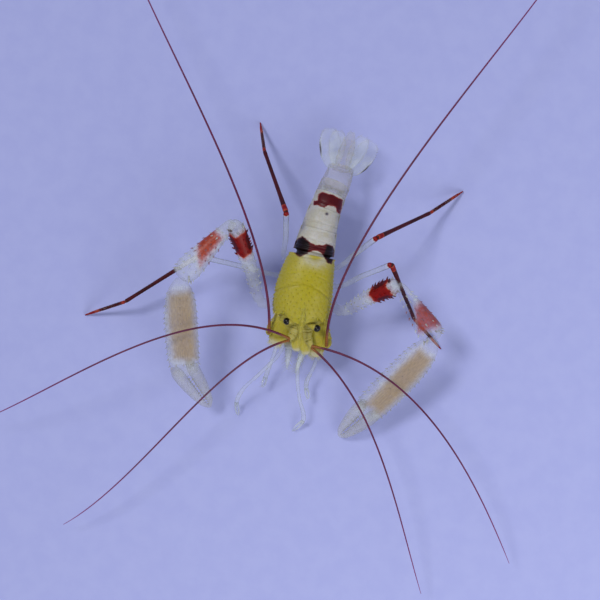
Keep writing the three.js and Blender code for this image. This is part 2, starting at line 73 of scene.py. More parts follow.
def point(*xyz):
    return np.array(xyz, float)


EYES = {"left": point(-2.45, -12.05, 11.5), "right": point(2.95, -12.35, 11.5)}
SHIFT = np.mean(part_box("eye_left"), axis=0) / MM - EYES["left"]

# -------------------------------- curves and profiles


def unit(v):
    return v / np.maximum(np.linalg.norm(v, axis=-1, keepdims=True), 1e-12)


def soften(value, squareness):
    return np.sign(value) * np.abs(value) ** (2 / squareness)


def smoothstep(low_edge, high_edge, x):
    t = np.clip((x - low_edge) / (high_edge - low_edge), 0, 1)
    return t * t * (3 - 2 * t)


def hump(x, centre, width):
    return np.exp(-(((x - centre) / width) ** 2))


def angles(count):
    return TAU * np.arange(count) / count


def profile(places, *knots):
    """A smooth curve through (place, value) knots that doesn't overshoot."""
    x, y = np.array(knots, float).T
    gap = np.diff(x)
    slope = np.diff(y) / gap
    tangent = np.zeros(len(x))
    tangent[0], tangent[-1] = slope[0], slope[-1]
    for k in range(1, len(x) - 1):
        a, b = slope[k - 1], slope[k]
        tangent[k] = 0 if a * b <= 0 else 2 * a * b / (a + b)
    places = np.clip(np.asarray(places, float), x[0], x[-1])
    k = np.clip(np.searchsorted(x, places, side="right") - 1, 0, len(x) - 2)
    t = (places - x[k]) / gap[k]
    bends = gap[k] * (tangent[k] * t * (1 - t) ** 2 - tangent[k + 1] * t * t * (1 - t))
    return y[k] * (1 + 2 * t) * (1 - t) ** 2 + y[k + 1] * t * t * (3 - 2 * t) + bends


def evenly(dense, count):
    run = np.concatenate([[0], np.cumsum(np.linalg.norm(np.diff(dense, axis=0), axis=1))])
    wanted = np.linspace(0, run[-1], count)
    return np.stack([np.interp(wanted, run, dense[:, k]) for k in range(3)], 1)


def through(stops, count):
    """count even points of the centripetal curve through the stops."""
    p = np.array(stops, float)
    ends = np.vstack([2 * p[0] - p[1], p, 2 * p[-1] - p[-2]])
    x = np.linspace(0, 1, 80, endpoint=False)[:, None]
    dense = []
    for a, b, c, d in zip(ends, ends[1:], ends[2:], ends[3:]):
        g0, g1, g2 = (math.sqrt(np.linalg.norm(v - u)) for u, v in ((a, b), (b, c), (c, d)))
        out = ((b - a) / g0 - (c - a) / (g0 + g1) + (c - b) / g1) * g1
        into = ((c - b) / g1 - (d - b) / (g1 + g2) + (d - c) / g2) * g1
        dense.append(b + out * x + (3 * (c - b) - 2 * out - into) * x**2 + (2 * (b - c) + out + into) * x**3)
    return evenly(np.vstack([*dense, p[-1:]]), count)


def bezier(controls, count):
    a, b, c, d = (np.array(q, float) for q in controls)
    t = np.linspace(0, 1, 900)[:, None]
    return evenly(a * (1 - t) ** 3 + 3 * b * t * (1 - t) ** 2 + 3 * c * t * t * (1 - t) + d * t**3, count)


class Line:
    """Points along a path, with the directions ahead, to the level side, and up."""

    def __init__(self, points):
        self.points = np.array(points, float)
        self.ahead = unit(np.gradient(self.points, axis=0))
        self.side = unit(np.cross(self.ahead, UP))
        self.up = np.cross(self.side, self.ahead)
        run = np.linalg.norm(np.diff(self.points, axis=0), axis=1)
        self.length = run.sum()
        self.place = np.concatenate([[0], np.cumsum(run)]) / self.length

    def at(self, place):
        """Centre, ahead, side and up at a place from 0 to 1."""
        k = np.interp(place, self.place, np.arange(len(self.place)))
        row = int(min(k, len(self.place) - 2))
        fields = (self.points, self.ahead, self.side, self.up)
        centre, *ways = [(1 - k + row) * v[row] + (k - row) * v[row + 1] for v in fields]
        return centre, *(unit(way) for way in ways)

    def round(self, place, turn, flat=1.0):
        """Centre, ahead, and the direction out at an angle: 0 is its side, a quarter turn is up."""
        centre, ahead, side, up = self.at(place)
        return centre, ahead, side * math.cos(turn) + up * flat * math.sin(turn)

    def profile(self, *knots):
        return profile(self.place, *knots)

    def value(self, place, values):
        return float(np.interp(place, self.place, np.broadcast_to(values, len(self.place))))


def curve(stops, count):
    return Line(through(stops, count))


def straight(start, stop, count):
    return Line(np.linspace(start, stop, count))


def ball(centre, radius, axis, count, close=0.02):
    """A line along a ball's axis, and the ball's half width along it."""
    turn = np.linspace(close, math.pi - close, count)
    return Line(centre - axis * np.cos(turn)[:, None]), radius * np.sin(turn)


def rings(line, half_width, half_height, sides=24, squareness=2.0, reach=None):
    """Rings round a line, whose size may vary by reach(place, angle)."""
    angle = angles(sides)
    rows = len(line.points)
    wide = np.broadcast_to(half_width, rows)[:, None] * soften(np.cos(angle), squareness)
    tall = np.broadcast_to(half_height, rows)[:, None] * soften(np.sin(angle), squareness)
    factor = 1 if reach is None else reach(line.place[:, None], angle[None])
    side, up = line.side[:, None], line.up[:, None]
    return line.points[:, None] + side * (wide * factor)[..., None] + up * (tall * factor)[..., None]


def jointed(line, knots, joints, depth=0.16, width=0.02):
    """The girth of a limb through (place, value) knots: narrow at its joints, with a cuff before each."""
    girth = line.profile(*knots)
    for joint in joints:
        cuff = 0.5 * depth * hump(line.place, joint - 2.2 * width, width)
        girth = girth * (1 - depth * hump(line.place, joint, width) + cuff)
    return girth


# -------------------------------- meshes

PATCH_RADIUS = 0.0015  # a bristle's patch on its unwrap


class Skin:
    """Collects closed shells and spines into one mesh, with named marks on its points."""

    def __init__(self, name):
        self.name = name
        self.points, self.faces, self.marks, self.patches = [], [], [], []
        self.count = 0

    def shell(self, grid, patch=(0.5, 0.5), **marks):
        """A closed shell through the rings of a grid, with a point in the middle of each end.

        A mark is a number, one for each ring, one for each point, or a function of the points.
        """
        rows, sides = grid.shape[:2]
        points = np.vstack([grid.reshape(-1, 3), grid[0].mean(0), grid[-1].mean(0)])
        i, k = np.meshgrid(np.arange(rows - 1), np.arange(sides), indexing="ij")
        a, b = i * sides + k, i * sides + (k + 1) % sides
        k = np.arange(sides)
        after, end = (k + 1) % sides, (rows - 1) * sides
        first, last = (np.full(sides, rows * sides + n) for n in (0, 1))
        faces = np.vstack([
            np.stack([a, a + sides, b + sides, b], -1).reshape(-1, 4),
            np.stack([k, after, first, first], -1),
            np.stack([end + after, end + k, last, last], -1),
        ])
        corners = [points[faces[:, n]] for n in range(4)]
        volume = (np.cross(corners[1], corners[2]) * corners[0]).sum()
        volume += (np.cross(corners[2], corners[3]) * corners[0]).sum()
        full = {}
        for name, value in marks.items():
            if callable(value):
                full[name] = value(points)
                continue
            value = np.asarray(value, float)
            value = np.broadcast_to(value[:, None] if value.ndim == 1 else value, (rows, sides))
            full[name] = np.concatenate([value.ravel(), [value[0].mean(), value[-1].mean()]])
        self.points.append(points)
        self.faces.append((faces[:, ::-1] if volume < 0 else faces) + self.count)
        self.marks.append(full)
        self.patches.append((len(points), patch))
        self.count += len(points)

    def tube(self, line, wide, sides, flat=1.0, squareness=2.0, reach=None, **marks):
        self.shell(rings(line, wide, wide * flat, sides, squareness, reach), **marks)

    def spine(self, root, tip, radius, bow=(0, 0, 0), sides=6, rows=5, patch=(0.5, 0.5), **marks):
        """A tapered spine or bristle, sunk a little at its root and bowed along its length."""
        root, tip, bow = (np.asarray(v, float) for v in (root, tip, bow))
        t = np.linspace(-0.12, 1, rows)
        centre = root + (tip - root) * t[:, None] + bow * (np.sin(np.pi * np.clip(t, 0, 1)) * 0.5)[:, None]
        ahead = unit(tip - root)
        side = unit(np.cross(ahead, UP if abs(ahead[2]) < 0.9 else point(1, 0, 0)))
        lift = np.cross(side, ahead)
        angle = angles(sides)[:, None]
        girth = radius * (1 - np.clip(t, 0, 0.97)) ** 0.8
        ring = side * np.cos(angle) + lift * np.sin(angle)
        self.shell(centre[:, None] + ring * girth[:, None, None], patch=patch, **marks)

    def studs(
        self, line, girth, places, turns, rise, reach, size, flat=1.0, sink=1.0, sides=7, rows=6, **marks
    ):
        """Spines round a limb that stand out from it by rise and lean ahead by reach."""
        for place in places:
            here = line.value(place, girth)
            for turn in turns:
                where, ahead, out = line.round(place, turn, flat)
                tip = where + out * (here + rise) + ahead * reach
                self.spine(where + out * here * sink, tip, size, sides=sides, rows=rows, **marks)

    def hair(self, root, way, girth, patch, bow=(0, 0, 0)):
        self.spine(root, root + way, girth, bow=bow, sides=3, rows=4, patch=patch)

    def build(self, look, *nodes, slot=None):
        """Makes the Blender object, which rides on the body and stands for the CAD nodes."""
        faces = []
        for row in np.vstack(self.faces).tolist():
            faces.append(row[:3] if row[2] == row[3] else row[1:] if row[0] == row[1] else row)
        mesh = bpy.data.meshes.new(self.name)
        mesh.from_pydata(((np.vstack(self.points) + SHIFT) * MM).tolist(), [], faces)
        mesh.polygons.foreach_set("use_smooth", [True] * len(mesh.polygons))
        for name in sorted({k for marks in self.marks for k in marks}):
            parts = [marks.get(name, np.zeros(n)) for marks, (n, _) in zip(self.marks, self.patches)]
            layer = mesh.attributes.new(name, "FLOAT", "POINT")
            layer.data.foreach_set("value", np.concatenate(parts).astype(np.float32))
        if look.startswith("bristle"):
            self.bake_map(mesh)
        material, usual_slot = LOOKS[look]
        mesh.materials.append(material)
        mesh.update()
        piece = bpy.data.objects.new(self.name, mesh)
        bpy.context.scene.collection.objects.link(piece)
        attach(piece, "root")
        slot or usual_slot
        if nodes:
            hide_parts(*nodes)

    def bake_map(self, mesh):
        """Each bristle is a small patch at its root's place on an unwrap of what it grows from."""
        corner = np.zeros(len(mesh.loops), np.int64)
        mesh.loops.foreach_get("vertex_index", corner)
        places = []
        for count, patch in self.patches:
            turn = angles(count)
            places.append(np.array(patch) + PATCH_RADIUS * np.stack([np.cos(turn), np.sin(turn)], 1))
        layer = mesh.uv_layers.new(name="OFBake")
        layer.data.foreach_set("uv", np.vstack(places)[corner].astype(np.float32).ravel())


# -------------------------------- looks


def colour(red, green, blue):
    """Linear colour from 0 to 255 display values."""

    def linear(v):
        v /= 255
        return v / 12.92 if v <= 0.04045 else ((v + 0.055) / 1.055) ** 2.4

    return (linear(red), linear(green), linear(blue), 1.0)


YELLOW = colour(184, 171, 12)
DEEP_YELLOW = colour(166, 149, 10)
OLIVE = colour(142, 126, 24)
CREAM = colour(208, 206, 202)
WARM_CREAM = colour(200, 196, 178)
MAROON = colour(86, 6, 18)
NEAR_BLACK = colour(18, 1, 6)
RED = colour(142, 10, 8)
ORANGE = colour(192, 80, 50)
BRICK = colour(148, 63, 76)
BLUSH = colour(202, 150, 152)
TAN = colour(178, 151, 100)
SAND = colour(196, 182, 156)
CRIMSON = colour(108, 8, 66)
ROSE = colour(152, 66, 136)
CLEAR = colour(238, 246, 242)
CLEAR_SHADE = colour(212, 224, 222)
SMOKE = colour(84, 76, 92)

# mark name, inner colour, rim colour, how far noise moves the edge, width of the edge
LAYERS = [
    ("pale", CREAM, CREAM, 0.5, 0.5),
    ("tan", TAN, SAND, 0.5, 0.3),
    ("yellow", YELLOW, WARM_CREAM, 0.4, 0.4),
    ("olive", OLIVE, YELLOW, 0.5, 0.5),
    ("smoke", SMOKE, SMOKE, 0.3, 0.4),
    ("blush", BRICK, BLUSH, 0.9, 0.34),
    ("red", RED, ORANGE, 0.8, 0.17),
    ("maroon", MAROON, RED, 0.5, 0.1),
    ("dark", NEAR_BLACK, MAROON, 0.45, 0.14),
]


class Nodes:
    """Shorthand for building one material's node tree."""

    def __init__(self, name):
        self.material = bpy.data.materials.new(name)
        self.material.use_nodes = True
        self.tree = self.material.node_tree
        self.shader = self.tree.nodes["Principled BSDF"]
        self.place = self.add("TexCoord").outputs["Object"]

    def put(self, socket, value):
        if isinstance(value, bpy.types.NodeSocket):
            self.tree.links.new(value, socket)
        else:
            socket.default_value = value

    def add(self, kind, _inputs=None, **settings):
        node = self.tree.nodes.new("ShaderNode" + kind)
        for key, value in settings.items():
            setattr(node, key, value)
        for key, value in (_inputs or {}).items():
            self.put(node.inputs[key], value)
        return node

    def noise(self, per_mm, detail=3.0, rough=0.55):
        inputs = {"Vector": self.place, "Scale": per_mm / MM, "Detail": detail, "Roughness": rough}
        return self.add("TexNoise", inputs).outputs["Fac"]

    def cells(self, per_mm):
        return self.add("TexVoronoi", {"Vector": self.place, "Scale": per_mm / MM}).outputs["Distance"]

    def mark(self, name):
        return self.add("Attribute", attribute_name=name).outputs["Fac"]

    def ranged(self, value, low_in, high_in, low_out=0.0, high_out=1.0):
        ends = {"From Min": low_in, "From Max": high_in, "To Min": low_out, "To Max": high_out}
        node = self.add("MapRange", {"Value": value, **ends}, interpolation_type="SMOOTHSTEP")
        return node.outputs["Result"]

    def sum(self, operation, a, b):
        return self.add("Math", {0: a, 1: b}, operation=operation).outputs[0]

    def mix(self, factor, a, b):
        return self.add("MixRGB", {"Fac": factor, "Color1": a, "Color2": b}).outputs["Color"]

    def bump(self, height, strength, distance):
        inputs = {"Strength": strength, "Distance": distance * MM, "Height": height}
        self.set(Normal=self.add("Bump", inputs).outputs["Normal"])

    def set(self, **values):
        for key, value in values.items():
            self.put(self.shader.inputs[key.replace("_", " ")], value)


def shell_look(name, base, shade, gloss=0.44, thinnest=1.0, grain=0.5, soft=0.25, speck=0.8, fibre=0.0):
    """Shell: a mottled base under the marks, with grain, pores and a thin wet coat.

    thinnest is the opacity where the mark "clear" is 1, speck how much the pigment dots darken, and
    fibre how much the flesh shows its strands, which follow the marks "along" and "across".
    """
    n = Nodes(name)
    blotch = n.noise(0.55, 4.0)
    fleck = n.noise(4.5, 2.0)
    ragged = n.sum("SUBTRACT", n.noise(2.2, 4.0, 0.65), 0.5)
    paint = n.mix(n.ranged(blotch, 0.35, 0.7), base, shade)
    for mark, inner, rim, wander, edge in LAYERS:
        value = n.sum("ADD", n.mark(mark), n.sum("MULTIPLY", ragged, wander))
        tint = n.mix(n.ranged(value, 0.5, 0.5 + 2.6 * edge), rim, inner)
        paint = n.mix(n.ranged(value, 0.5 - edge, 0.5 + edge), paint, tint)
    dots = n.ranged(n.cells(1.7), 0.05, 0.13, speck, 1.0)
    dimmer = n.sum("MULTIPLY", n.ranged(fleck, 0.25, 0.75, 0.88, 1.0), dots)
    if fibre:
        run = {0: n.sum("MULTIPLY", n.mark("across"), 5.0), 1: n.mark("along")}
        flesh = {"Vector": n.add("CombineXYZ", run).outputs[0], "Scale": 1.3, "Detail": 3.0}
        strands = n.ranged(n.add("TexNoise", flesh).outputs["Fac"], 0.3, 0.7, 1.0 - fibre, 1.0)
        dimmer = n.sum("MULTIPLY", dimmer, strands)
    dimming = n.add("CombineXYZ", {0: dimmer, 1: dimmer, 2: dimmer}).outputs[0]
    paint = n.add("VectorMath", {0: paint, 1: dimming}, operation="MULTIPLY").outputs[0]
    n.set(Base_Color=paint, Roughness=n.ranged(fleck, 0.2, 0.8, gloss - 0.08, gloss + 0.12))
    if thinnest < 1:
        cover = n.sum("MAXIMUM", n.mark("dark"), n.sum("MAXIMUM", n.mark("red"), n.mark("maroon")))
        sheer = n.sum("MULTIPLY", n.mark("clear"), n.sum("SUBTRACT", 1.0, n.ranged(cover, 0.3, 0.7)))
        uneven = n.ranged(blotch, 0.3, 0.7, 0.85, 1.0)
        n.set(Alpha=n.ranged(n.sum("MULTIPLY", sheer, uneven), 0.0, 1.0, 1.0, thinnest))
    pores = n.ranged(n.cells(5.0), 0.05, 0.4)
    height = n.sum("ADD", n.sum("MULTIPLY", n.noise(9.0, 3.0), 0.5), n.sum("MULTIPLY", pores, 0.4))
    n.bump(height, grain, 0.04)
    n.set(Coat_Weight=0.05, Coat_Roughness=0.2, IOR=1.32)
    n.set(Subsurface_Weight=soft, Subsurface_Scale=0.7 * MM, Subsurface_Radius=(1.0, 0.7, 0.45))
    return n.material


def eye_look():
    """A black cornea, with its facets and a faint brown depth."""
    n = Nodes("cornea")
    paint = n.mix(n.ranged(n.noise(1.4), 0.3, 0.7), colour(3, 2, 4), colour(18, 9, 9))
    n.bump(n.ranged(n.cells(14.0), 0.0, 0.5), 0.25, 0.01)
    n.set(Base_Color=paint, Roughness=n.ranged(n.noise(6.0), 0.2, 0.8, 0.08, 0.16))
    n.set(Coat_Weight=0.3, Coat_Roughness=0.04, IOR=1.36)
    return n.material


def feeler_look():
    """Ringed crimson, paling to rose towards the tip."""
    n = Nodes("feeler_crimson")
    paint = n.mix(n.ranged(n.noise(0.5), 0.3, 0.7), CRIMSON, colour(88, 6, 56))
    paint = n.mix(n.ranged(n.mark("fade"), 0.0, 1.0), paint, ROSE)
    paint = n.mix(n.ranged(n.mark("base"), 0.3, 0.9), paint, colour(150, 92, 22))
    paint = n.mix(n.ranged(n.mark("ring"), 0.2, 0.9, 0.0, 0.5), paint, colour(52, 4, 36))
    n.bump(n.noise(12.0), 0.3, 0.02)
    n.set(Base_Color=paint, Roughness=n.ranged(n.noise(5.0), 0.2, 0.8, 0.38, 0.55))
    n.set(Subsurface_Weight=0.1, Subsurface_Scale=0.3 * MM)
    return n.material


def bristle_look(name, base, tip_colour, opacity):
    """Fine half clear bristles."""
    n = Nodes(name)
    n.set(Base_Color=n.mix(n.ranged(n.noise(1.5), 0.3, 0.7), base, tip_colour))
    n.set(Roughness=n.ranged(n.noise(5.0), 0.2, 0.8, 0.4, 0.6), Alpha=opacity)
    return n.material


CREAM_LOOK = {"thinnest": 0.14, "soft": 0.3, "speck": 0.9}
CLAW_LOOK = {"gloss": 0.4, "thinnest": 0.06, "soft": 0.0, "speck": 0.92, "fibre": 0.25}
CLEAR_LOOK = {"gloss": 0.36, "thinnest": 0.07, "grain": 0.35, "soft": 0.0, "speck": 0.92}
DARK_LOOK = {"gloss": 0.55, "thinnest": 0.35, "soft": 0.0}
PALE_BRISTLE = (colour(206, 210, 204), colour(222, 224, 216), 0.5)
YELLOW_BRISTLE = (colour(214, 204, 96), colour(224, 220, 160), 0.7)
# each look's material, and the record's slot that it stands for
LOOKS = {
    "yellow": (shell_look("yellow_shell", YELLOW, DEEP_YELLOW, soft=0.3), "yellow_shell"),
    "cream": (shell_look("cream_shell", CREAM, WARM_CREAM, **CREAM_LOOK), "cream_shell"),
    "claw": (shell_look("claw_shell", CLEAR, CREAM, **CLAW_LOOK), "claw_shell"),
    "clear": (shell_look("clear_shell", CLEAR, CLEAR_SHADE, **CLEAR_LOOK), "clear_shell"),
    "dark": (shell_look("dark_leg", colour(70, 6, 14), colour(40, 4, 10), **DARK_LOOK), "dark_leg"),
    "eye": (eye_look(), "eye"),
    "feeler": (feeler_look(), "crimson_feeler"),
    "bristle": (bristle_look("bristle_pale", *PALE_BRISTLE), "clear_shell"),
    "bristle_yellow": (bristle_look("bristle_yellow", *YELLOW_BRISTLE), "yellow_shell"),
}

# -------------------------------- markings seen from above

ACROSS = point(0.985, 0.174, 0)  # the markings were laid out along these level directions
ALONG = point(-0.174, 0.985, 0)


def within(points, corners):
    """How far inside an outline each point is, seen from above, in millimetres."""
    place = np.stack([points @ ACROSS, points @ ALONG], 1)
    nearest, odd = np.full(len(place), 1e9), np.zeros(len(place), bool)
    for start, stop in zip(np.array(corners, float), np.roll(np.array(corners, float), -1, axis=0)):
        way, away = stop - start, place - start
        part = np.clip(away @ way / (way @ way), 0, 1)
        nearest = np.minimum(nearest, np.linalg.norm(away - part[:, None] * way, axis=1))
        crosses = (start[1] > place[:, 1]) != (stop[1] > place[:, 1])
        odd ^= crosses & (away[:, 0] < way[0] * away[:, 1] / (way[1] or 1e-9))
    return np.where(odd, nearest, -nearest)


def inside(distance):
    """A mark that is a half on the outline and rises inwards."""
    return np.clip(0.5 + distance, 0, 1.6)


# outlines of the markings on the back: places across and along, in millimetres
BOW = [
    (-3.2, 2.5), (-2.5, 3.15), (-1.7, 3.45), (-0.5, 2.45), (0.6, 2.0), (1.6, 1.95), (2.3, 2.1), (3.5, 1.75),
    (3.9, 0.9), (3.7, -0.6), (3.3, -1.5), (2.6, -1.25), (1.7, 0.15), (0.9, 0.7), (0.1, 0.75), (-0.9, 0.35),
    (-2.1, -0.25), (-2.9, 0.1), (-3.4, 1.0),
]
LEFT_LOBE = [*BOW[:4], (-0.35, 1.5), (-0.8, 0.4), *BOW[16:]]
RIGHT_LOBE = [*BOW[6:13], (2.05, 1.0)]
BAND = [
    (0.1, 9.7), (0.8, 9.8), (1.0, 10.8), (1.65, 11.3), (2.7, 10.9), (3.8, 10.7), (4.5, 10.2), (5.4, 9.95),
    (5.2, 8.4), (4.9, 7.2), (4.3, 7.5), (3.9, 8.5), (2.9, 8.75), (2.0, 8.35), (1.1, 8.75), (0.1, 8.8),
]


def bow(points):
    """The black lobes of the bow over the first two somites."""
    return inside(np.maximum(within(points, LEFT_LOBE), within(points, RIGHT_LOBE)))


def bow_knot(points):
    """The whole bow, which is maroon between its lobes."""
    return inside(within(points, BOW) - 0.12)


def second_band(points):
    """The ragged maroon band on the fourth somite."""
    return inside(within(points, BAND) - 0.05)


def above(points, height, fade=1.0):
    return smoothstep(height - fade, height + fade, points[:, 2])


# -------------------------------- carapace and head front

CARAPACE_LENGTH, CARAPACE_WIDTH, CARAPACE_DEPTH = 10.8, 10.1, 8.1
ROSTRUM = [
    (0.02, -6.6, 12.75), (0.08, -8.8, 12.85), (0.15, -10.9, 12.75), (0.25, -13.4, 12.6),
    (0.35, -15.95, 12.85),
]


def carapace_point(s, a, inset=0.0):
    """The carapace's skin: s runs from its rear edge to its front, and a quarter turn of a is its top."""
    wide = profile(s, (0, 0.8), (0.08, 0.84), (0.3, 0.92), (0.6, 1), (0.85, 1), (0.95, 0.97), (1, 0.9))
    deep = profile(s, (0, 0.84), (0.08, 0.93), (0.3, 0.99), (0.6, 1), (0.85, 0.95), (0.95, 0.89), (1, 0.8))
    mid_x = profile(s, (0, -0.05), (0.08, -0.15), (0.3, -0.35), (0.6, -0.42), (0.85, -0.35), (1, -0.25))
    mid_z = profile(s, (0, 9.7), (0.3, 9.6), (0.6, 9.55), (1, 9.4))
    flank, top = np.cos(a), np.sin(a)
    beside = np.abs(flank)
    upper = smoothstep(-0.35, 0.1, top)
    neck = s - (0.47 + 0.2 * beside**1.6)
    back = s - (0.3 + 0.12 * beside**2)
    lift = -0.15 * hump(neck, 0, 0.022) * upper + 0.04 * hump(neck, 0.05, 0.035) * upper
    lift = lift - 0.06 * hump(back, 0, 0.016) * upper * smoothstep(0.15, 0.5, beside)
    lift = lift + 0.1 * hump(s, 0, 0.016) - 0.07 * hump(s, 0.045, 0.016)
    lift = lift + 0.16 * hump(a, math.pi / 2, 0.1) * smoothstep(0.5, 0.95, s)
    lift = lift + 0.12 * hump(s, 0.62, 0.07) * hump(beside, 0.55, 0.22) * upper
    lift = lift + 0.1 * hump(s, 0.25, 0.15) * hump(beside, 0.75, 0.2) * upper
    x = mid_x + (CARAPACE_WIDTH / 2 * wide * (1 - inset) + lift) * soften(flank, 2.15)
    rise = (CARAPACE_DEPTH / 2 * deep * (1 - inset) + lift) * soften(top, 2.15)
    z = mid_z + np.where(top < 0, rise * (1 - 0.1 * beside**0.5), rise)
    from_top = np.abs(np.degrees(a) - 90)
    brow = -1.35 * hump(from_top, 0, 27) + 0.15 * hump(from_top, 44, 12) - 0.4 * hump(from_top, 64, 9)
    brow = brow + 0.15 * hump(from_top, 85, 12) - 0.3 * hump(from_top, 108, 10)
    return np.stack(np.broadcast_arrays(x, -CARAPACE_LENGTH * s + brow * s**9, z), -1)


def carapace():
    skin = Skin("carapace_shell")
    around = angles(160)[None]
    # the turned-in edges: how far in, and how far along
    rear = ((0.16, -0.7), (0.08, -0.1), (0.03, 0.05))
    face = (
        (0.03, -0.05), (0.07, 0.02), (0.11, 0.1), (0.2, 0.05), (0.34, -0.2), (0.52, -0.5), (0.72, -0.8),
        (0.9, -0.9),
    )
    lip = lambda s, rows: [carapace_point(np.full((1, 1), s), around, q) + point(0, b, 0) for q, b in rows]
    outer = carapace_point(np.linspace(0, 1, 170)[:, None], around)

    def yellow(p):
        behind = 1.15 * smoothstep(-3.2, 0.3, p[:, 1]) * hump(p[:, 0], 0.5, 2.1)
        low_side = 1.1 * smoothstep(7.6, 5.9, p[:, 2])
        return np.clip(1.35 - behind - low_side, 0, 1.4)

    def olive(p):
        return 0.62 * hump(p[:, 0], 0.1, 3.0) * hump(p[:, 1], -5.4, 4.2) * above(p, 10.5, 1.5)

    marks = {"yellow": yellow, "olive": olive, "dark": bow, "maroon": bow_knot}
    skin.shell(np.concatenate([*lip(0.0, rear), outer, *lip(1.0, face)]), **marks)

    def forward_spine(s, degrees, out_by, reach, radius, bend, **shape):
        a = math.radians(degrees)
        here = carapace_point(np.full((1, 1), s), np.full((1, 1), a))[0, 0]
        out = point(math.cos(a), 0, math.sin(a))
        skin.spine(here, here + out * out_by + point(0, -reach, 0), radius, bow=out * bend, **shape, **marks)

    for row, s in enumerate(np.arange(0.09, 0.99, 0.062), 1):
        for degrees in np.arange(-18 + 6.5 * (row % 2), 199, 13.0):
            place = min(s + draw.uniform(-0.012, 0.012), 0.985)
            turn = degrees + draw.uniform(-2, 2)
            reach = (0.16 + 0.24 * s) * draw.uniform(0.75, 1.15)
            forward_spine(place, turn, reach * 0.5, reach, 0.06 + 0.035 * s, 0.06, sides=7)
    for degrees, reach in ((28, 1.0), (152, 1.0), (-18, 0.8), (198, 0.8), (54, 0.6), (126, 0.6)):
        forward_spine(0.965, degrees, reach * 0.25, reach, 0.14, 0.1, sides=10, rows=9)

    line = curve(ROSTRUM, 120)
    knots = ((0, 0.15), (0.25, 0.7), (0.45, 0.78), (0.58, 0.46), (0.8, 0.27), (0.94, 0.13), (1, 0.04))
    wide = line.profile(*knots)
    tall = line.profile((0, 0.1), (0.25, 0.42), (0.45, 0.46), (0.65, 0.34), (0.85, 0.2), (1, 0.04))
    keel = lambda p, a: 1 + 0.2 * hump(a, math.pi / 2, 0.3) - 0.1 * hump(np.abs(np.cos(a)), 0.75, 0.15)
    skin.shell(rings(line, wide, tall, sides=40, reach=keel), yellow=1.3, olive=olive)
    for k, t in enumerate((0.2, 0.29, 0.38, 0.47, 0.56, 0.65, 0.76, 0.87)):
        centre, ahead, side, up = line.at(t)
        size = 0.6 * (1 - 0.45 * t)
        for hand in (-1, 1) if k < 5 else (0,):
            root = centre + up * line.value(t, tall) * 0.9 + side * hand * line.value(t, wide) * 0.34
            tip = root + ahead * size * 0.9 + up * size * 0.5 + side * hand * 0.12
            skin.spine(root, tip, 0.15 * (1 - 0.4 * t), bow=up * 0.1, sides=9, rows=7, yellow=1.3)
        for hand in (-1, 1) if 0 < k < 6 else ():
            root = centre + side * hand * line.value(t, wide) * 0.92
            tip = root + ahead * size * 0.8 + side * hand * size * 0.4
            skin.spine(root, tip, radius=0.11, bow=side * hand * 0.05, sides=8, rows=6, yellow=1.3)
    skin.build("yellow", "carapace")


def underside():
    """The breast between the leg bases, with a ridge for each pair of legs."""
    skin = Skin("breast")
    line = straight(point(-0.1, -0.4, 6.0), point(-0.1, -11.2, 5.9), 130)
    wide = line.profile((0, 1.6), (0.1, 2.5), (0.45, 3.3), (0.8, 3.1), (0.95, 2.2), (1, 1.2))
    tall = line.profile((0, 0.7), (0.1, 1.15), (0.5, 1.3), (0.9, 1.2), (1, 0.6))
    ridge = lambda p, a: 1 + 0.07 * np.cos(TAU * 6.5 * p) * smoothstep(0.3, -0.4, np.sin(a))
    skin.shell(rings(line, wide, tall, sides=56, squareness=2.3, reach=ridge), clear=0.2)
    skin.build("cream")


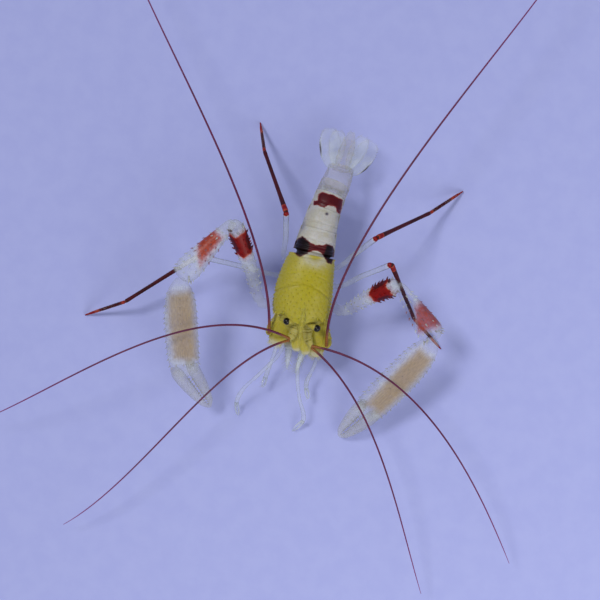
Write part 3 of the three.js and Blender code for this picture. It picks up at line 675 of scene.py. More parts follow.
def head_core():
    """The front of the head, from which the eyestalks and feelers spring."""
    skin = Skin("head_front")
    line = curve([(-0.15, -9.4, 9.2), (-0.05, -11.2, 8.9), (0.15, -12.8, 8.5), (0.5, -14.4, 8.4)], 110)
    wide = line.profile((0, 3.8), (0.35, 3.7), (0.6, 2.9), (0.85, 1.9), (0.96, 1.2), (1, 0.6))
    knots = ((0, 3.5), (0.3, 3.0), (0.45, 2.2), (0.6, 1.3), (0.85, 0.5), (0.96, 0.3), (1, 0.15))
    yellow = lambda p: 1.3 * smoothstep(5.6, 7.4, p[:, 2])

    def folds(p, a):
        return 1 + 0.03 * np.cos(TAU * 7 * p) + 0.04 * np.cos(6 * a) - 0.06 * hump(a, math.pi / 2, 0.2)

    skin.shell(rings(line, wide, line.profile(*knots), sides=64, squareness=2.2, reach=folds), yellow=yellow)
    for hand, base in ((-1, point(-3.7, -11.1, 7.6)), (1, point(3.8, -11.1, 7.6))):
        tip = base + point(hand * 0.5, -2.1, 0.1)
        knob = straight(base + point(-hand * 0.6, 1.2, 0.1), tip, 50)
        girth = knob.profile((0, 0.5), (0.2, 1.05), (0.6, 1.2), (0.9, 0.95), (1, 0.45))
        skin.tube(knob, girth, 36, flat=0.95, squareness=2.2, yellow=yellow)
        for lift in (-0.5, 0.1, 0.6):
            root = tip + point(hand * 0.75, 0.5, lift)
            way = point(hand * 0.35, -0.75, lift * 0.3)
            skin.spine(root, root + way, radius=0.13, sides=8, rows=6, yellow=yellow)
    # the palps folded under the mouth, and the upper lip between them
    for hand in (-1, 1):
        for spread, drop, stout in ((1.0, 0.0, 0.5), (1.5, 0.55, 0.42)):
            palp = [(1.1, -9.4, 6.2), (1.25, -11.4, 5.8), (0.7, -12.8, 6.1), (0.25, -12.6, 6.7)]
            jaw = curve([(hand * spread * x, y + drop, z - drop) for x, y, z in palp], 60)
            knots = ((0, 0.9), (0.3, 1.1), (0.7, 0.9), (1, 0.3))
            girth = stout * jointed(jaw, knots, (0.45, 0.7), depth=0.25, width=0.025)
            skin.tube(jaw, girth, 28, flat=0.7, squareness=2.2, yellow=0.2, pale=0.8)
    lip = straight(point(0.1, -11.4, 7.0), point(0.15, -13.3, 6.9), 30)
    skin.tube(lip, lip.profile((0, 0.5), (0.5, 0.8), (0.9, 0.45), (1, 0.15)), 28, flat=0.8, yellow=1.0)
    skin.build("yellow")


# -------------------------------- abdomen

TAIL_STOPS = [
    (-0.1, -2.0, 9.7), (0.05, 0, 9.7), (0.5, 6.6, 9.5), (1.35, 11.3, 8.9), (2.1, 14.6, 7.9),
    (2.35, 17.4, 7.1), (2.6, 23.6, 5.6),
]
TAIL_LINE = curve(TAIL_STOPS, 900)
# start, end, half width, half height and swimmeret length, for six somites and what follows them
SOMITES = [
    (0.6, 1.8, 3.6, 3.1, 1.7),
    (1.8, 4.6, 3.5, 3.05, 2.6),
    (4.6, 8.2, 3.1, 2.85, 2.8),
    (8.2, 11.0, 2.75, 2.6, 2.6),
    (11.0, 13.1, 2.65, 2.3, 2.2),
    (13.1, 16.3, 2.6, 2.0, 0.0),
    (16.3, 18.0, 2.1, 1.4, 0.0),
]
SOMITE_CLEAR = (0.0, 0.1, 0.22, 0.3, 0.76, 0.88)
PLATE_ROWS = 34
PLATE_DEPTH_ROWS = 22


def tail_rows(ys):
    """The abdomen's line at these Y values."""
    k = np.interp(ys, TAIL_LINE.points[:, 1], np.arange(len(TAIL_LINE.points)))
    rows = np.arange(len(TAIL_LINE.points))
    return Line(np.stack([np.interp(k, rows, TAIL_LINE.points[:, c]) for c in range(3)], 1))


def abdomen_paint(index):
    def warm(p):
        left = hump(p @ ACROSS, -2.2, 1.3) * smoothstep(7.5, 2.5, p[:, 1])
        return 0.75 * left * above(p, 9.0)

    def spot(p):
        """A small grey dot behind the band's far end."""
        return 0.9 * hump(np.hypot(p @ ACROSS - 2.5, p @ ALONG - 7.3), 0, 0.35) * above(p, 9.0)

    return {
        "dark": lambda p: bow(p) * above(p, 8.2),
        "maroon": lambda p: np.maximum(bow_knot(p), second_band(p)) * above(p, 8.0 if index > 1 else 8.6),
        "yellow": warm,
        "clear": SOMITE_CLEAR[index],
        "smoke": (lambda p: 0.42 * hump(p[:, 1], 16.3, 0.3) * above(p, 6.5)) if index == 5 else spot,
    }


def somite(index):
    start, end, wide, tall, _ = SOMITES[index]
    _, _, next_wide, next_tall, _ = SOMITES[index + 1]
    paint = abdomen_paint(index)
    skin = Skin(f"somite_{index + 1}_shell")

    def girths(part):
        mix = np.clip(0.7 * part, 0, 0.8)
        return wide + (next_wide - wide) * mix, tall + (next_tall - tall) * mix

    def domed(ring, ahead, steps):
        """Rings that close an end: the size of each, and how far back it lies."""
        return [ring.mean(0) + (ring - ring.mean(0)) * q - ahead * b for q, b in steps]

    ys = np.linspace(start - 0.75, end + 0.1, int(22 + 17 * (end - start)))
    line = tail_rows(ys)
    p = (ys - start) / (end - 0.3 - start)
    crown = 1 - 0.06 * (2 * np.clip(p, 0, 1) - 1) ** 2
    tuck = 1 - 0.12 * smoothstep(0.12, -0.25, p) + 0.02 * hump(ys, end + 0.02, 0.14)
    w, h = (girth * crown * tuck for girth in girths(p))

    def reach(_, a):
        top = np.sin(a)
        groove = -0.035 * hump(ys[:, None], start + 0.32 * (end - start), 0.12) * smoothstep(-0.2, 0.3, top)
        return 1 + groove + 0.012 * hump(a, math.pi / 2, 0.12) - 0.1 * smoothstep(-0.55, -1.0, top)

    grid = rings(line, w, h, sides=112, squareness=2.1, reach=reach)
    opening = domed(grid[0], line.ahead[0], ((0.15, 0.35), (0.5, 0.3), (0.85, 0.15)))
    closing = domed(grid[-1], line.ahead[-1], ((0.975, 0.02), (0.93, 0.3), (0.75, 0.6), (0.4, 0.85)))
    skin.shell(np.concatenate([opening, grid, closing]), **paint)

    # side plates, each hanging as a rounded lobe with a small spine behind
    plate_y = np.linspace(start + 0.05, end + 0.22, PLATE_ROWS)
    plate = tail_rows(plate_y)
    plate_w, plate_h = (girth[:, None] for girth in girths((plate_y - start) / (end - start)))
    drop = np.sin(np.pi * np.linspace(0.06, 0.94, PLATE_ROWS))[:, None] ** 0.55
    down = np.linspace(0, 1, PLATE_DEPTH_ROWS)
    down = np.concatenate([down, down[::-1]])[None] * drop
    inner = np.repeat([0, 1], PLATE_DEPTH_ROWS)[None]
    turn = np.radians(-4 - 52 * down)
    out = 1.012 - 0.055 * inner + 0.1 * down
    x, z = plate_w * np.cos(turn) ** 0.5 * out, plate_h * np.sin(turn) * out * 1.08
    for hand in (-1, 1):
        beside, below = plate.side[:, None] * hand * x[..., None], plate.up[:, None] * z[..., None]
        grid = plate.points[:, None] + beside + below
        skin.shell(grid, **paint)
        root = grid[-6, 20]
        skin.spine(root, root + point(hand * 0.1, 0.45, -0.25), radius=0.09, sides=8, rows=6, **paint)

    # short, low spines in rows across the back
    for row_y in np.arange(start + 0.55 * (end - start), end - 0.1, 0.62):
        k = int(np.argmin(np.abs(ys - row_y)))
        for degrees in np.arange(22, 160, 17.0):
            a = math.radians(degrees + draw.uniform(-4, 4))
            side, up = line.side[k] * math.cos(a), line.up[k] * math.sin(a)
            here = line.points[k] + side * w[k] + up * h[k]
            size = draw.uniform(0.12, 0.2)
            skin.spine(here, here + line.ahead[k] * size + (side + up) * size * 0.35, radius=0.05, **paint)
    skin.build("cream", f"somite_{index + 1}", slot="maroon_band" if index == 1 else None)


def swimmerets():
    """Two soft paddles on a short stem under each side of somites 1 to 5."""
    skin = Skin("swimmerets")
    hairs = Skin("swimmeret_bristles")
    for index in range(5):
        start, end, wide, tall, swim = SOMITES[index]
        y = start + 0.55 * (end - start)
        row = tail_rows(np.array([y, y + 0.1]))
        for hand in (-1, 1):
            root = row.points[0] + row.side[0] * hand * wide * 0.42 - row.up[0] * tall * 0.8
            knee = root + point(hand * 0.15, 0.15, -0.42 * swim)
            stem = straight(root, knee, 24)
            skin.tube(stem, stem.profile((0, 0.5), (0.5, 0.42), (1, 0.3)), 20, flat=0.7, clear=0.6)
            paddles = ((0.35, 1.0), (-0.15, 0.85)) if index else ((0.35, 1.0),)
            for k, (sway, reach) in enumerate(paddles):
                tip = knee + point(hand * (0.25 + sway), 0.75 * reach, -0.62 * swim * reach * 0.75)
                line = curve([knee, (knee + tip) / 2 + point(hand * 0.12, -0.05, 0), tip], 34)
                leaf = line.profile((0, 0.12), (0.35, 0.46), (0.7, 0.38), (1, 0.04))
                skin.shell(rings(line, leaf, 0.09 * (1 - 0.5 * line.place), sides=20), clear=0.8)
                for t in np.linspace(0.25, 1, 9):
                    centre, ahead, side, _ = line.at(t)
                    for edge in (-1, 1):
                        root = centre + side * edge * line.value(t, leaf) * 0.9
                        way = (ahead * 0.8 + side * edge * 0.6) * draw.uniform(0.35, 0.5)
                        patch_x = 0.05 + 0.18 * index + 0.04 * k + 0.02 * (edge > 0)
                        patch = (patch_x, 0.05 + 0.4 * (hand > 0) + 0.3 * t)
                        hairs.hair(root, way, girth=0.022, patch=patch, bow=ahead * 0.05)
    skin.build("clear")
    hairs.build("bristle")


# -------------------------------- tail fan

FAN_HEADING = 7
FAN_ROOT = tail_rows(np.array([16.6, 16.7])).points[0]


def blade_line(root, heading, length, drop, arch=0.12):
    turn = math.radians(heading)
    tip = root + point(length * math.sin(turn), length * math.cos(turn), -drop)
    return curve([root, (root + tip) / 2 + point(0, 0, arch), tip], 90)


def blade(skin, line, leaf_knots, thick_knots, ridges, **marks):
    """A thin leaf, which returns its half width. Ridges are (place across from -1 to 1, height)."""
    place = line.place[:, None]
    leaf = line.profile(*leaf_knots)
    angle = angles(64)[None]
    across = np.cos(angle)
    body = np.sign(np.sin(angle)) * np.abs(np.sin(angle)) ** 0.8 * profile(place, *thick_knots)
    end = smoothstep(0, 0.1, place) * smoothstep(1.0, 0.85, place)
    for where, height in ridges:
        body = body + height * hump(across, where, 0.07) * smoothstep(0.0, 0.5, np.sin(angle)) * end
    x = leaf[:, None] * across
    grid = line.points[:, None] + line.side[:, None] * x[..., None] + line.up[:, None] * body[..., None]
    skin.shell(grid, **{k: v(across, place) if callable(v) else v for k, v in marks.items()})
    return leaf


def fringe(hairs, line, leaf, start, stop, edges, size, spacing, patch, radius=0.026):
    """Bristles along the edges of a blade, fanning out towards its tip."""
    place = start
    while place <= stop:
        centre, ahead, side, up = line.at(place)
        wide = line.value(place, leaf)
        slope = (line.value(place + 0.03, leaf) - wide) / (0.03 * line.length)
        for edge in edges:
            out = unit(side * edge - ahead * slope)
            lean = unit(out * (1 - 0.35 * place) + ahead * (0.45 + 0.9 * place))
            root = centre + side * (edge * wide * 0.97)
            reach = size * draw.uniform(0.75, 1.1) * (0.6 + 0.4 * math.sin(math.pi * min(1, 0.2 + place)))
            spot = (patch[0] + 0.05 * (edge > 0) + 0.02 * draw.uniform(), patch[1] + 0.2 * place)
            hairs.hair(root, lean * reach - up * 0.12 * reach, radius, spot, ahead * 0.06 * reach)
        place += spacing / line.length * (1.0 if place < 0.88 else 0.45)


TELSON_LEAF = ((0, 0.95), (0.12, 1.3), (0.35, 1.38), (0.65, 1.12), (0.88, 0.7), (0.97, 0.35), (1, 0.06))
ENDOPOD_LEAF = ((0, 0.32), (0.1, 0.7), (0.35, 1.25), (0.65, 1.42), (0.87, 1.15), (0.97, 0.6), (1, 0.1))
EXOPOD_LEAF = ((0, 0.4), (0.1, 1.0), (0.33, 1.68), (0.62, 1.88), (0.86, 1.5), (0.97, 0.8), (1, 0.12))


def telson(hairs):
    skin = Skin("telson_shell")
    line = blade_line(FAN_ROOT + point(0, -0.35, 0.1), FAN_HEADING, length=6.75, drop=1.5, arch=0.25)
    thick = ((0, 0.5), (0.2, 0.42), (0.7, 0.24), (1, 0.06))
    ridges = [(-0.42, 0.14), (0.42, 0.14), (0.0, -0.1)]
    smoky = lambda across, place: 0.3 * hump(place, 0.5, 0.16)
    leaf = blade(skin, line, TELSON_LEAF, thick, ridges, clear=0.93, smoke=smoky)
    places = (0.22, 0.4, 0.57, 0.73)
    for place in places:
        centre, ahead, side, up = line.at(place)
        for hand in (-1, 1):
            root = centre + side * hand * line.value(place, leaf) * 0.42 + up * 0.35
            skin.spine(root, root + ahead * 0.42 + up * 0.12, radius=0.07, sides=8, rows=6, clear=0.3)
    skin.studs(line, leaf * 0.98, places, (0, math.pi), rise=0.16, reach=0.36, size=0.06, sides=8, clear=0.3)
    fringe(
        hairs, line, leaf, start=0.62, stop=0.995, edges=(-1, 1), size=0.75, spacing=0.16, patch=(0.1, 0.1)
    )
    skin.build("cream", "telson")


def tail_fan():
    hairs = Skin("tail_bristles")
    telson(hairs)
    for name, hand in HANDS.items():
        outer_turn = 0 if hand > 0 else math.pi
        inner = Skin(f"uropod_endopod_{name}_blade")
        root = FAN_ROOT + point(hand * 1.1, -0.5, -0.85)
        line = blade_line(root, FAN_HEADING + hand * 11, length=6.75, drop=1.25, arch=0.18)
        thick = ((0, 0.34), (0.2, 0.25), (0.7, 0.16), (1, 0.04))
        marks = {"clear": lambda a, p: 0.8 + 0.15 * p, "smoke": lambda a, p: 0.3 * hump(p, 0.45, 0.15)}
        leaf = blade(inner, line, ENDOPOD_LEAF, thick, [(-0.1, 0.12), (0.12, 0.12)], **marks)
        fringe(
            hairs, line, leaf, start=0.3, stop=0.995, edges=(-1, 1), size=0.8, spacing=0.15,
            patch=(0.25 + 0.12 * hand, 0.4),
        )
        inner.build("clear", f"uropod_endopod_{name}")

        outer = Skin(f"uropod_exopod_{name}_blade")
        root = FAN_ROOT + point(hand * 1.95, -hand * 0.3 - 0.9, -1.7)
        line = blade_line(root, FAN_HEADING + hand * 17, length=7.15, drop=1.2, arch=0.15)
        thick = ((0, 0.32), (0.2, 0.25), (0.7, 0.16), (1, 0.04))
        middle = 0.48 if hand < 0 else 0.3
        streak = lambda a, p: 0.95 * hump(a, hand * 0.93, 0.1) * hump(p, middle, 0.2)
        marks = {"clear": lambda a, p: (0.82 + 0.15 * p) * (1 - 0.9 * streak(a, p)), "smoke": streak}
        ridges = [(hand * 0.45, 0.12), (hand * 0.25, 0.1), (hand * 0.93, 0.1)]
        leaf = blade(outer, line, EXOPOD_LEAF, thick, ridges, **marks)
        places = np.linspace(0.3, 0.82, 9)
        outer.studs(
            line, leaf * 0.97, places, (outer_turn,), rise=0.14, reach=0.3, size=0.055, rows=5, clear=0.6,
            smoke=0.55,
        )
        fringe(
            hairs, line, leaf, start=0.34, stop=0.995, edges=(-hand,), size=0.85, spacing=0.15,
            patch=(0.55 + 0.12 * hand, 0.4),
        )
        fringe(
            hairs, line, leaf, start=0.84, stop=0.995, edges=(hand,), size=0.8, spacing=0.15,
            patch=(0.55 + 0.12 * hand, 0.7),
        )
        outer.build("clear", f"uropod_exopod_{name}")
    hairs.build("bristle")


# -------------------------------- eyes and feelers

STALKS = {
    "left": [(-0.55, -11.85, 11.0), (-1.2, -11.93, 11.35), (-2.2, -12.03, 11.5)],
    "right": [(1.0, -11.9, 11.0), (1.75, -12.1, 11.35), (2.7, -12.3, 11.5)],
}


def eyes():
    for name, hand in HANDS.items():
        stalk = Skin(f"eyestalk_{name}_shell")
        line = curve(STALKS[name], 60)
        girth = line.profile((0, 0.36), (0.3, 0.34), (0.6, 0.42), (0.85, 0.56), (1, 0.5))
        stalk.tube(line, girth, 40, yellow=1.1, olive=0.6, smoke=0.5 * smoothstep(0.8, 0.95, line.place))
        for k in range(9):
            over = math.acos(math.cos(2.4 * k))
            stalk.studs(
                line, 0.38, (0.35 + 0.06 * k,), (over,), rise=0.2, reach=0.1, size=0.04, sides=6, rows=5,
                yellow=1.1,
            )
        stalk.build("yellow", f"eyestalk_{name}")

        cornea = Skin(f"eye_{name}_cornea")
        line, girth = ball(EYES[name], radius=0.64, axis=unit(point(hand, -0.22, 0.08)) * 0.62, count=44)
        cornea.tube(line, girth, 56)
        cornea.build("eye", f"eye_{name}")


PEDUNCLES = {
    "left": [(-0.7, -11.3, 9.6), (-0.95, -13.9, 9.6), (-1.5, -15.2, 9.55)],
    "right": [(1.1, -11.3, 9.6), (1.65, -14.2, 9.6), (2.6, -15.8, 9.55)],
}
# thin inner lobes beneath the stems, which close the front of the head between them
LOBES = {
    "left": [(-0.3, -12.2, 8.75), (-0.15, -14.8, 8.8), (0.2, -17.0, 8.25)],
    "right": [(0.85, -12.2, 8.75), (1.25, -14.8, 8.8), (1.95, -17.3, 8.25)],
}
ANTENNA_STEMS = {
    "left": [(-3.9, -11.3, 7.1), (-4.5, -12.7, 7.2), (-5.2, -14.3, 8.3), (-5.2, -14.8, 9.0)],
    "right": [(4.0, -11.3, 7.1), (4.65, -12.9, 7.2), (5.35, -14.7, 8.3), (5.25, -15.3, 9.0)],
}
# root, heading in degrees and length
SCALES = {"left": (point(-2.75, -11.3, 8.8), 193, 5.5), "right": (point(2.95, -11.3, 8.8), 173, 6.2)}


def antennule_stem(name, hand, hairs):
    skin = Skin(f"antennule_{name}_stem")
    line = curve(PEDUNCLES[name], 90)
    knots = ((0, 0.8), (0.3, 0.86), (0.65, 0.72), (0.9, 0.6), (1, 0.36))
    girth = jointed(line, knots, (0.42, 0.72), depth=0.3, width=0.026)
    skin.tube(line, girth, 44, flat=0.9, yellow=1.2)
    turns = (0.15, 0.7, 2.44, 2.99)
    skin.studs(line, girth, (0.39, 0.69, 0.97), turns, rise=0.12, reach=0.42, size=0.08, flat=0.9, yellow=1.2)
    line = curve(LOBES[name], 70)
    leaf = ((0, 0.6), (0.3, 0.85), (0.65, 0.98), (0.88, 0.74), (0.97, 0.36), (1, 0.06))
    ridges = [(0.0, 0.08), (-0.5, 0.05), (0.5, 0.05)]
    yellow = lambda a, p: 1.3 - 0.6 * smoothstep(0.8, 1.0, p)
    leaf = blade(skin, line, leaf, ((0, 0.3), (0.4, 0.2), (1, 0.04)), ridges, yellow=yellow)
    fringe(
        hairs, line, leaf, start=0.62, stop=0.995, edges=(-1, 1), size=0.7, spacing=0.1,
        patch=(0.5 + 0.1 * hand, 0.1),
    )
    skin.build("yellow", f"antennule_{name}")


def antenna_stem(name):
    skin = Skin(f"antenna_{name}_stem")
    line = curve(ANTENNA_STEMS[name], 80)
    knots = ((0, 0.72), (0.3, 0.82), (0.7, 0.74), (0.93, 0.5), (1, 0.3))
    girth = jointed(line, knots, (0.36, 0.68), depth=0.26, width=0.026)
    skin.tube(line, girth, 40, yellow=lambda p: 1.3 * smoothstep(6.1, 7.3, p[:, 2]))
    skin.studs(line, 0.72, (0.62,), (0.4, 1.57, 2.7), rise=0.13, reach=0.4, size=0.08, yellow=1.2)
    skin.build("yellow", f"antenna_{name}")


def antenna_scale(name, hand, hairs):
    skin = Skin(f"antenna_scale_{name}_blade")
    line = blade_line(*SCALES[name], drop=1.05, arch=0.15)
    outer = hand if line.side[0][0] > 0 else -hand
    leaf = ((0, 0.8), (0.12, 1.3), (0.4, 1.65), (0.7, 1.55), (0.9, 1.05), (0.98, 0.45), (1, 0.08))
    thick = ((0, 0.35), (0.2, 0.27), (0.7, 0.17), (1, 0.04))
    ribs = ((0.55, 0.14), (0.92, 0.1), (0.15, -0.05), (-0.3, 0.05), (-0.65, 0.04))
    ribs = [(outer * where, height) for where, height in ribs]
    leaf = blade(skin, line, leaf, thick, ribs, yellow=lambda a, p: 1.35 - 0.75 * smoothstep(0.7, 1.0, p))
    outer_turn = 0 if outer > 0 else math.pi
    skin.studs(
        line, leaf * 0.97, np.linspace(0.35, 0.9, 7), (outer_turn,), rise=0.16, reach=0.36, size=0.07,
        yellow=1.0,
    )
    patch_x = 0.3 + 0.3 * hand
    fringe(
        hairs, line, leaf, start=0.3, stop=0.86, edges=(-outer,), size=1.3, spacing=0.1, patch=(patch_x, 0.3),
        radius=0.028,
    )
    fringe(
        hairs, line, leaf, start=0.86, stop=0.995, edges=(-outer, outer), size=1.5, spacing=0.08,
        patch=(patch_x, 0.5), radius=0.028,
    )
    skin.build("yellow", f"antenna_scale_{name}")


def head_parts():
    hairs = Skin("scale_bristles")
    for name, hand in HANDS.items():
        antennule_stem(name, hand, hairs)
        antenna_stem(name)
        antenna_scale(name, hand, hairs)
    hairs.build("bristle_yellow")


# the four controls of each feeler's curve
FEELERS = {
    "antennule_left_upper": [(-1.4, -15.0, 9.85), (-19, -9.2, 19), (-38, -29.6, 17), (-52.5, -38.6, 6)],
    "antennule_left_lower": [(-1.45, -15.3, 9.3), (-13.4, -20.1, 13), (-22.7, -44.1, 11), (-35.4, -54.7, 4)],
    "antennule_right_upper": [(2.6, -15.6, 9.8), (21.6, -15.6, 15), (33.9, -32.2, 14), (44.1, -47.8, 3.5)],
    "antennule_right_lower": [(2.6, -15.9, 9.3), (15.8, -23.1, 13), (22.6, -42.3, 11), (29.5, -55.8, 4)],
    "antenna_left_flagellum": [(-5.2, -14.7, 9.0), (-6.8, 3.6, 19), (-32.8, 31.8, 16), (-43.4, 50.5, 12)],
    "antenna_right_flagellum": [(5.2, -15.2, 9.0), (1.4, 2.7, 19), (27.3, 41.2, 16), (35.3, 60.4, 12)],
}
FEELER_GIRTHS = {"upper": 0.9, "lower": 0.85, "flagellum": 1.0}
FEELER_TAPER = ((0, 0.3), (0.03, 0.24), (0.15, 0.2), (0.6, 0.15), (0.9, 0.1), (1, 0.05))
RING_LENGTH = 0.36  # one ring of a feeler
ROWS_PER_RING = 4


def feelers():
    for name, controls in FEELERS.items():
        skin = Skin(f"{name}_feeler")
        count = int(Line(bezier(controls, 200)).length / RING_LENGTH)
        line = Line(bezier(controls, count * ROWS_PER_RING + 1))
        t = line.place
        ring = (np.arange(len(t)) % ROWS_PER_RING) / ROWS_PER_RING
        swell = 1 + 0.09 * np.sin(np.pi * ring) - 0.05 * (ring == 0)
        girth = FEELER_GIRTHS[name.split("_")[-1]] * profile(t, *FEELER_TAPER) * swell
        fade = profile(t, (0, 0), (0.45, 0.1), (1, 0.75))
        skin.tube(line, girth, 10, ring=ring == 0, fade=fade, base=smoothstep(0.07, 0.0, t))
        skin.build("feeler", f"{name}_1", f"{name}_2")


# -------------------------------- slim legs and mouth legs

MAXILLIPEDS = {
    "left": [(-0.8, -10.2, 4.9), (-1.5, -13.8, 4.2), (-1.2, -17.6, 4.6), (-1.0, -20.6, 3.6)],
    "right": [(1.2, -10.2, 4.9), (1.9, -13.8, 4.2), (1.1, -17.9, 4.4), (0.6, -21.0, 3.4)],
}
SLIM_LEGS = {
    "leg_1_left": [
        (-1.5, -8.5, 4.3), (-3.1, -12.3, 3.2), (-3.7, -18.2, 3.9), (-4.4, -22, 2.8), (-4.7, -24.6, 2.4),
    ],
    "leg_1_right": [
        (1.9, -8.5, 4.3), (3.4, -12.3, 3.2), (3.8, -18.4, 3.9), (2.9, -22.6, 3.0), (3.7, -25.2, 2.6),
    ],
    "leg_2_left": [
        (-2.3, -7.3, 4.7), (-3.4, -11, 5.7), (-2.5, -17, 6.1), (-5.3, -21.7, 6), (-8, -25.3, 4.4),
        (-8.8, -27.9, 2.4), (-8.2, -30.4, 0.12),
    ],
    "leg_2_right": [
        (2.6, -7.3, 4.7), (3.7, -11, 5.7), (0.9, -18.6, 6.1), (1.2, -22, 6), (2.1, -25.2, 4.4), (3.5, -29, 2),
        (1.9, -31.5, 0.12),
    ],
}


def hip(skin, stops, stout, clear):
    """The two short pieces that join a leg to the breast."""
    a, b = np.array(stops[0], float), np.array(stops[1], float)
    way = unit(b - a)
    line = straight(a - way * 0.9 + point(0, 0, 0.45), a + way * 1.1, 40)
    knots = ((0, 0.9), (0.3, 1.25), (0.6, 1.1), (0.85, 1.02), (1, 0.7))
    skin.tube(line, stout * jointed(line, knots, (0.5,), depth=0.12, width=0.04), 32, clear=clear)


def mouth_legs():
    hairs = Skin("maxilliped_bristles")
    for name, hand in HANDS.items():
        skin = Skin(f"maxilliped_{name}_limb")
        line = curve(MAXILLIPEDS[name], 150)
        t = line.place
        knots = ((0, 0.75), (0.1, 0.85), (0.3, 1.15), (0.5, 1.05), (0.64, 0.68), (0.85, 0.4), (1, 0.07))
        girth = jointed(line, knots, (0.3, 0.5, 0.64, 0.8), depth=0.2, width=0.012)
        yellow = 1.1 * smoothstep(0.7, 0.5, t) * smoothstep(0.1, 0.3, t)
        skin.tube(
            line, girth, 36, flat=0.7, squareness=2.2, clear=0.7 - 0.4 * yellow, pale=0.2, yellow=yellow
        )
        hip(skin, MAXILLIPEDS[name], stout=0.62, clear=0.4)
        outer_turn = 0 if hand > 0 else math.pi
        places = np.arange(0.12, 0.5, 0.045)
        skin.studs(
            line, girth, places, (outer_turn,), rise=0.22, reach=0.25, size=0.06, sink=0.9, sides=6, rows=5,
            clear=0.5,
        )
        for place in np.arange(0.14, 0.99, 0.011):
            for k in range(3):
                turn = draw.uniform(-0.9, 0.5) + (math.pi if draw.uniform() < 0.5 else 0)
                where, ahead, out = line.round(place, turn)
                size = draw.uniform(0.55, 1.05) * (0.7 + 0.5 * place)
                patch = (0.1 + 0.4 * (hand > 0) + 0.3 * place, 0.1 + 0.25 * k + 0.2 * draw.uniform())
                way = (out * 0.8 + ahead * 0.75) * size
                hairs.hair(
                    where + out * line.value(place, girth) * 0.85, way, girth=0.017, patch=patch,
                    bow=ahead * 0.1,
                )
        skin.build("clear", f"maxilliped_{name}")
    hairs.build("bristle")


def slim_legs():
    hairs = Skin("slim_leg_bristles")
    for number, (name, stops) in enumerate(SLIM_LEGS.items()):
        skin = Skin(f"{name}_limb")
        line = curve(stops, 230)
        first = name.startswith("leg_1")
        joints = (0.2, 0.45, 0.7) if first else (0.16, 0.4, 0.66)
        knots = ((0, 0.5), (0.15, 0.44), (0.4, 0.36), (0.7, 0.3), (0.84, 0.4), (0.9, 0.36), (1, 0.3))
        girth = jointed(line, knots, joints, depth=0.22, width=0.01)
        cut = int(0.9 * len(line.place))
        # painted shade: both flanks of the clear leg are painted greyer and less clear, a dark outline
        # standing in for the shade a clear tube shows where it turns away from view
        edges = 0.5 * np.abs(np.cos(angles(28)))[None] ** 4
        skin.tube(Line(line.points[:cut]), girth[:cut], 28, clear=0.9 - 0.6 * edges, smoke=0.1 + edges)
        hip(skin, stops, stout=0.5, clear=0.45)
        # a small pincer: two slender fingers that close on each other
        start, _, side, _ = line.at(0.885)
        tip = line.points[-1]
        for edge in (-1, 1):
            mid = (start + tip) / 2 + side * edge * 0.3
            finger = curve([start + side * edge * 0.16, mid, tip + side * edge * 0.05], 40)
            stout = finger.profile((0, 0.24), (0.4, 0.17), (0.85, 0.1), (1, 0.03))
            skin.tube(finger, stout, 18, flat=1.15, clear=0.7, smoke=0.25, red=0.25 * (1 - first))
        for place in np.linspace(0.72 if first else 0.8, 0.99, 30 if first else 22):
            for k in range(4 if first else 2):
                where, ahead, out = line.round(place, draw.uniform(0, TAU))
                if (where + out)[2] < 0.7:
                    out = out * point(1, 1, 0) + point(0, 0, 0.3)
                size = draw.uniform(0.4, 0.8)
                patch = (0.1 + 0.2 * number + 0.1 * place, 0.1 + 0.2 * k + 0.1 * draw.uniform())
                hairs.hair(where + out * 0.2, (out * 0.8 + ahead * 0.6) * size, girth=0.017, patch=patch)
        skin.build("clear", name)
    hairs.build("bristle")


# -------------------------------- walking legs

# root, bend beside the body, knee, ankle, toe
WALKING_LEGS = {
    "leg_4_left": [
        (-2.2, -3.6, 4.5), (-4.9, -4.3, 5.6), (-19.8, -3.5, 10), (-31.4, -13.7, 5), (-38.5, -17.4, 0),
    ],
    "leg_4_right": [(2.4, -3.4, 4.4), (5, -4.5, 5.4), (13.7, 0.8, 16), (19.8, -7.8, 4.5), (25.7, -12.3, 0)],
    "leg_5_left": [
        (-1.9, -1.5, 4.5), (-4.6, -1.2, 6.2), (-5.8, 6.5, 17), (-11.6, 16.9, 6.5), (-13.4, 22.2, 0),
    ],
    "leg_5_right": [(2.1, -1.5, 4.5), (4.5, -1.3, 6.2), (10.4, 4.9, 16), (19.3, 11.3, 4.5), (24.7, 16.4, 0)],
}
SHIN_RINGS, FOOT_RINGS = 14, 7  # faint rings along each
ROWS_PER_LEG_RING = 16


def thigh(name, root, bend, knee):
    skin = Skin(f"{name}_merus_shell")
    line = curve([root, bend, (bend + knee) / 2, knee], 220)
    t = line.place[:, None]
    knots = ((0, 0.55), (0.1, 0.5), (0.3, 0.46), (0.7, 0.46), (0.93, 0.5), (0.985, 0.46), (1, 0.3))
    knee_red = smoothstep(0.95, 0.985, t)
    # painted shade: both flanks of the clear thigh are painted greyer and less clear, a dark outline standing
    # in for the shade a clear tube shows where it turns away from view
    edges = 0.5 * np.abs(np.cos(angles(32)))[None] ** 4 * smoothstep(0.3, 0.6, t)
    smoke = (0.16 + 0.2 * hump(t, 0.9, 0.06) + edges) * (1 - knee_red)
    girth = jointed(line, knots, (0.17, 0.24), depth=0.16, width=0.01)
    skin.tube(line, girth, 32, clear=0.9 * (1 - knee_red) - edges, red=1.05 * knee_red, smoke=smoke)
    hip(skin, [root, bend], stout=0.6, clear=0.45)
    skin.studs(line, 0.42, (0.965,), (0.5, 1.57, 2.6), rise=0.18, reach=0.42, size=0.08, red=1.1)
    skin.build("clear", f"{name}_merus")


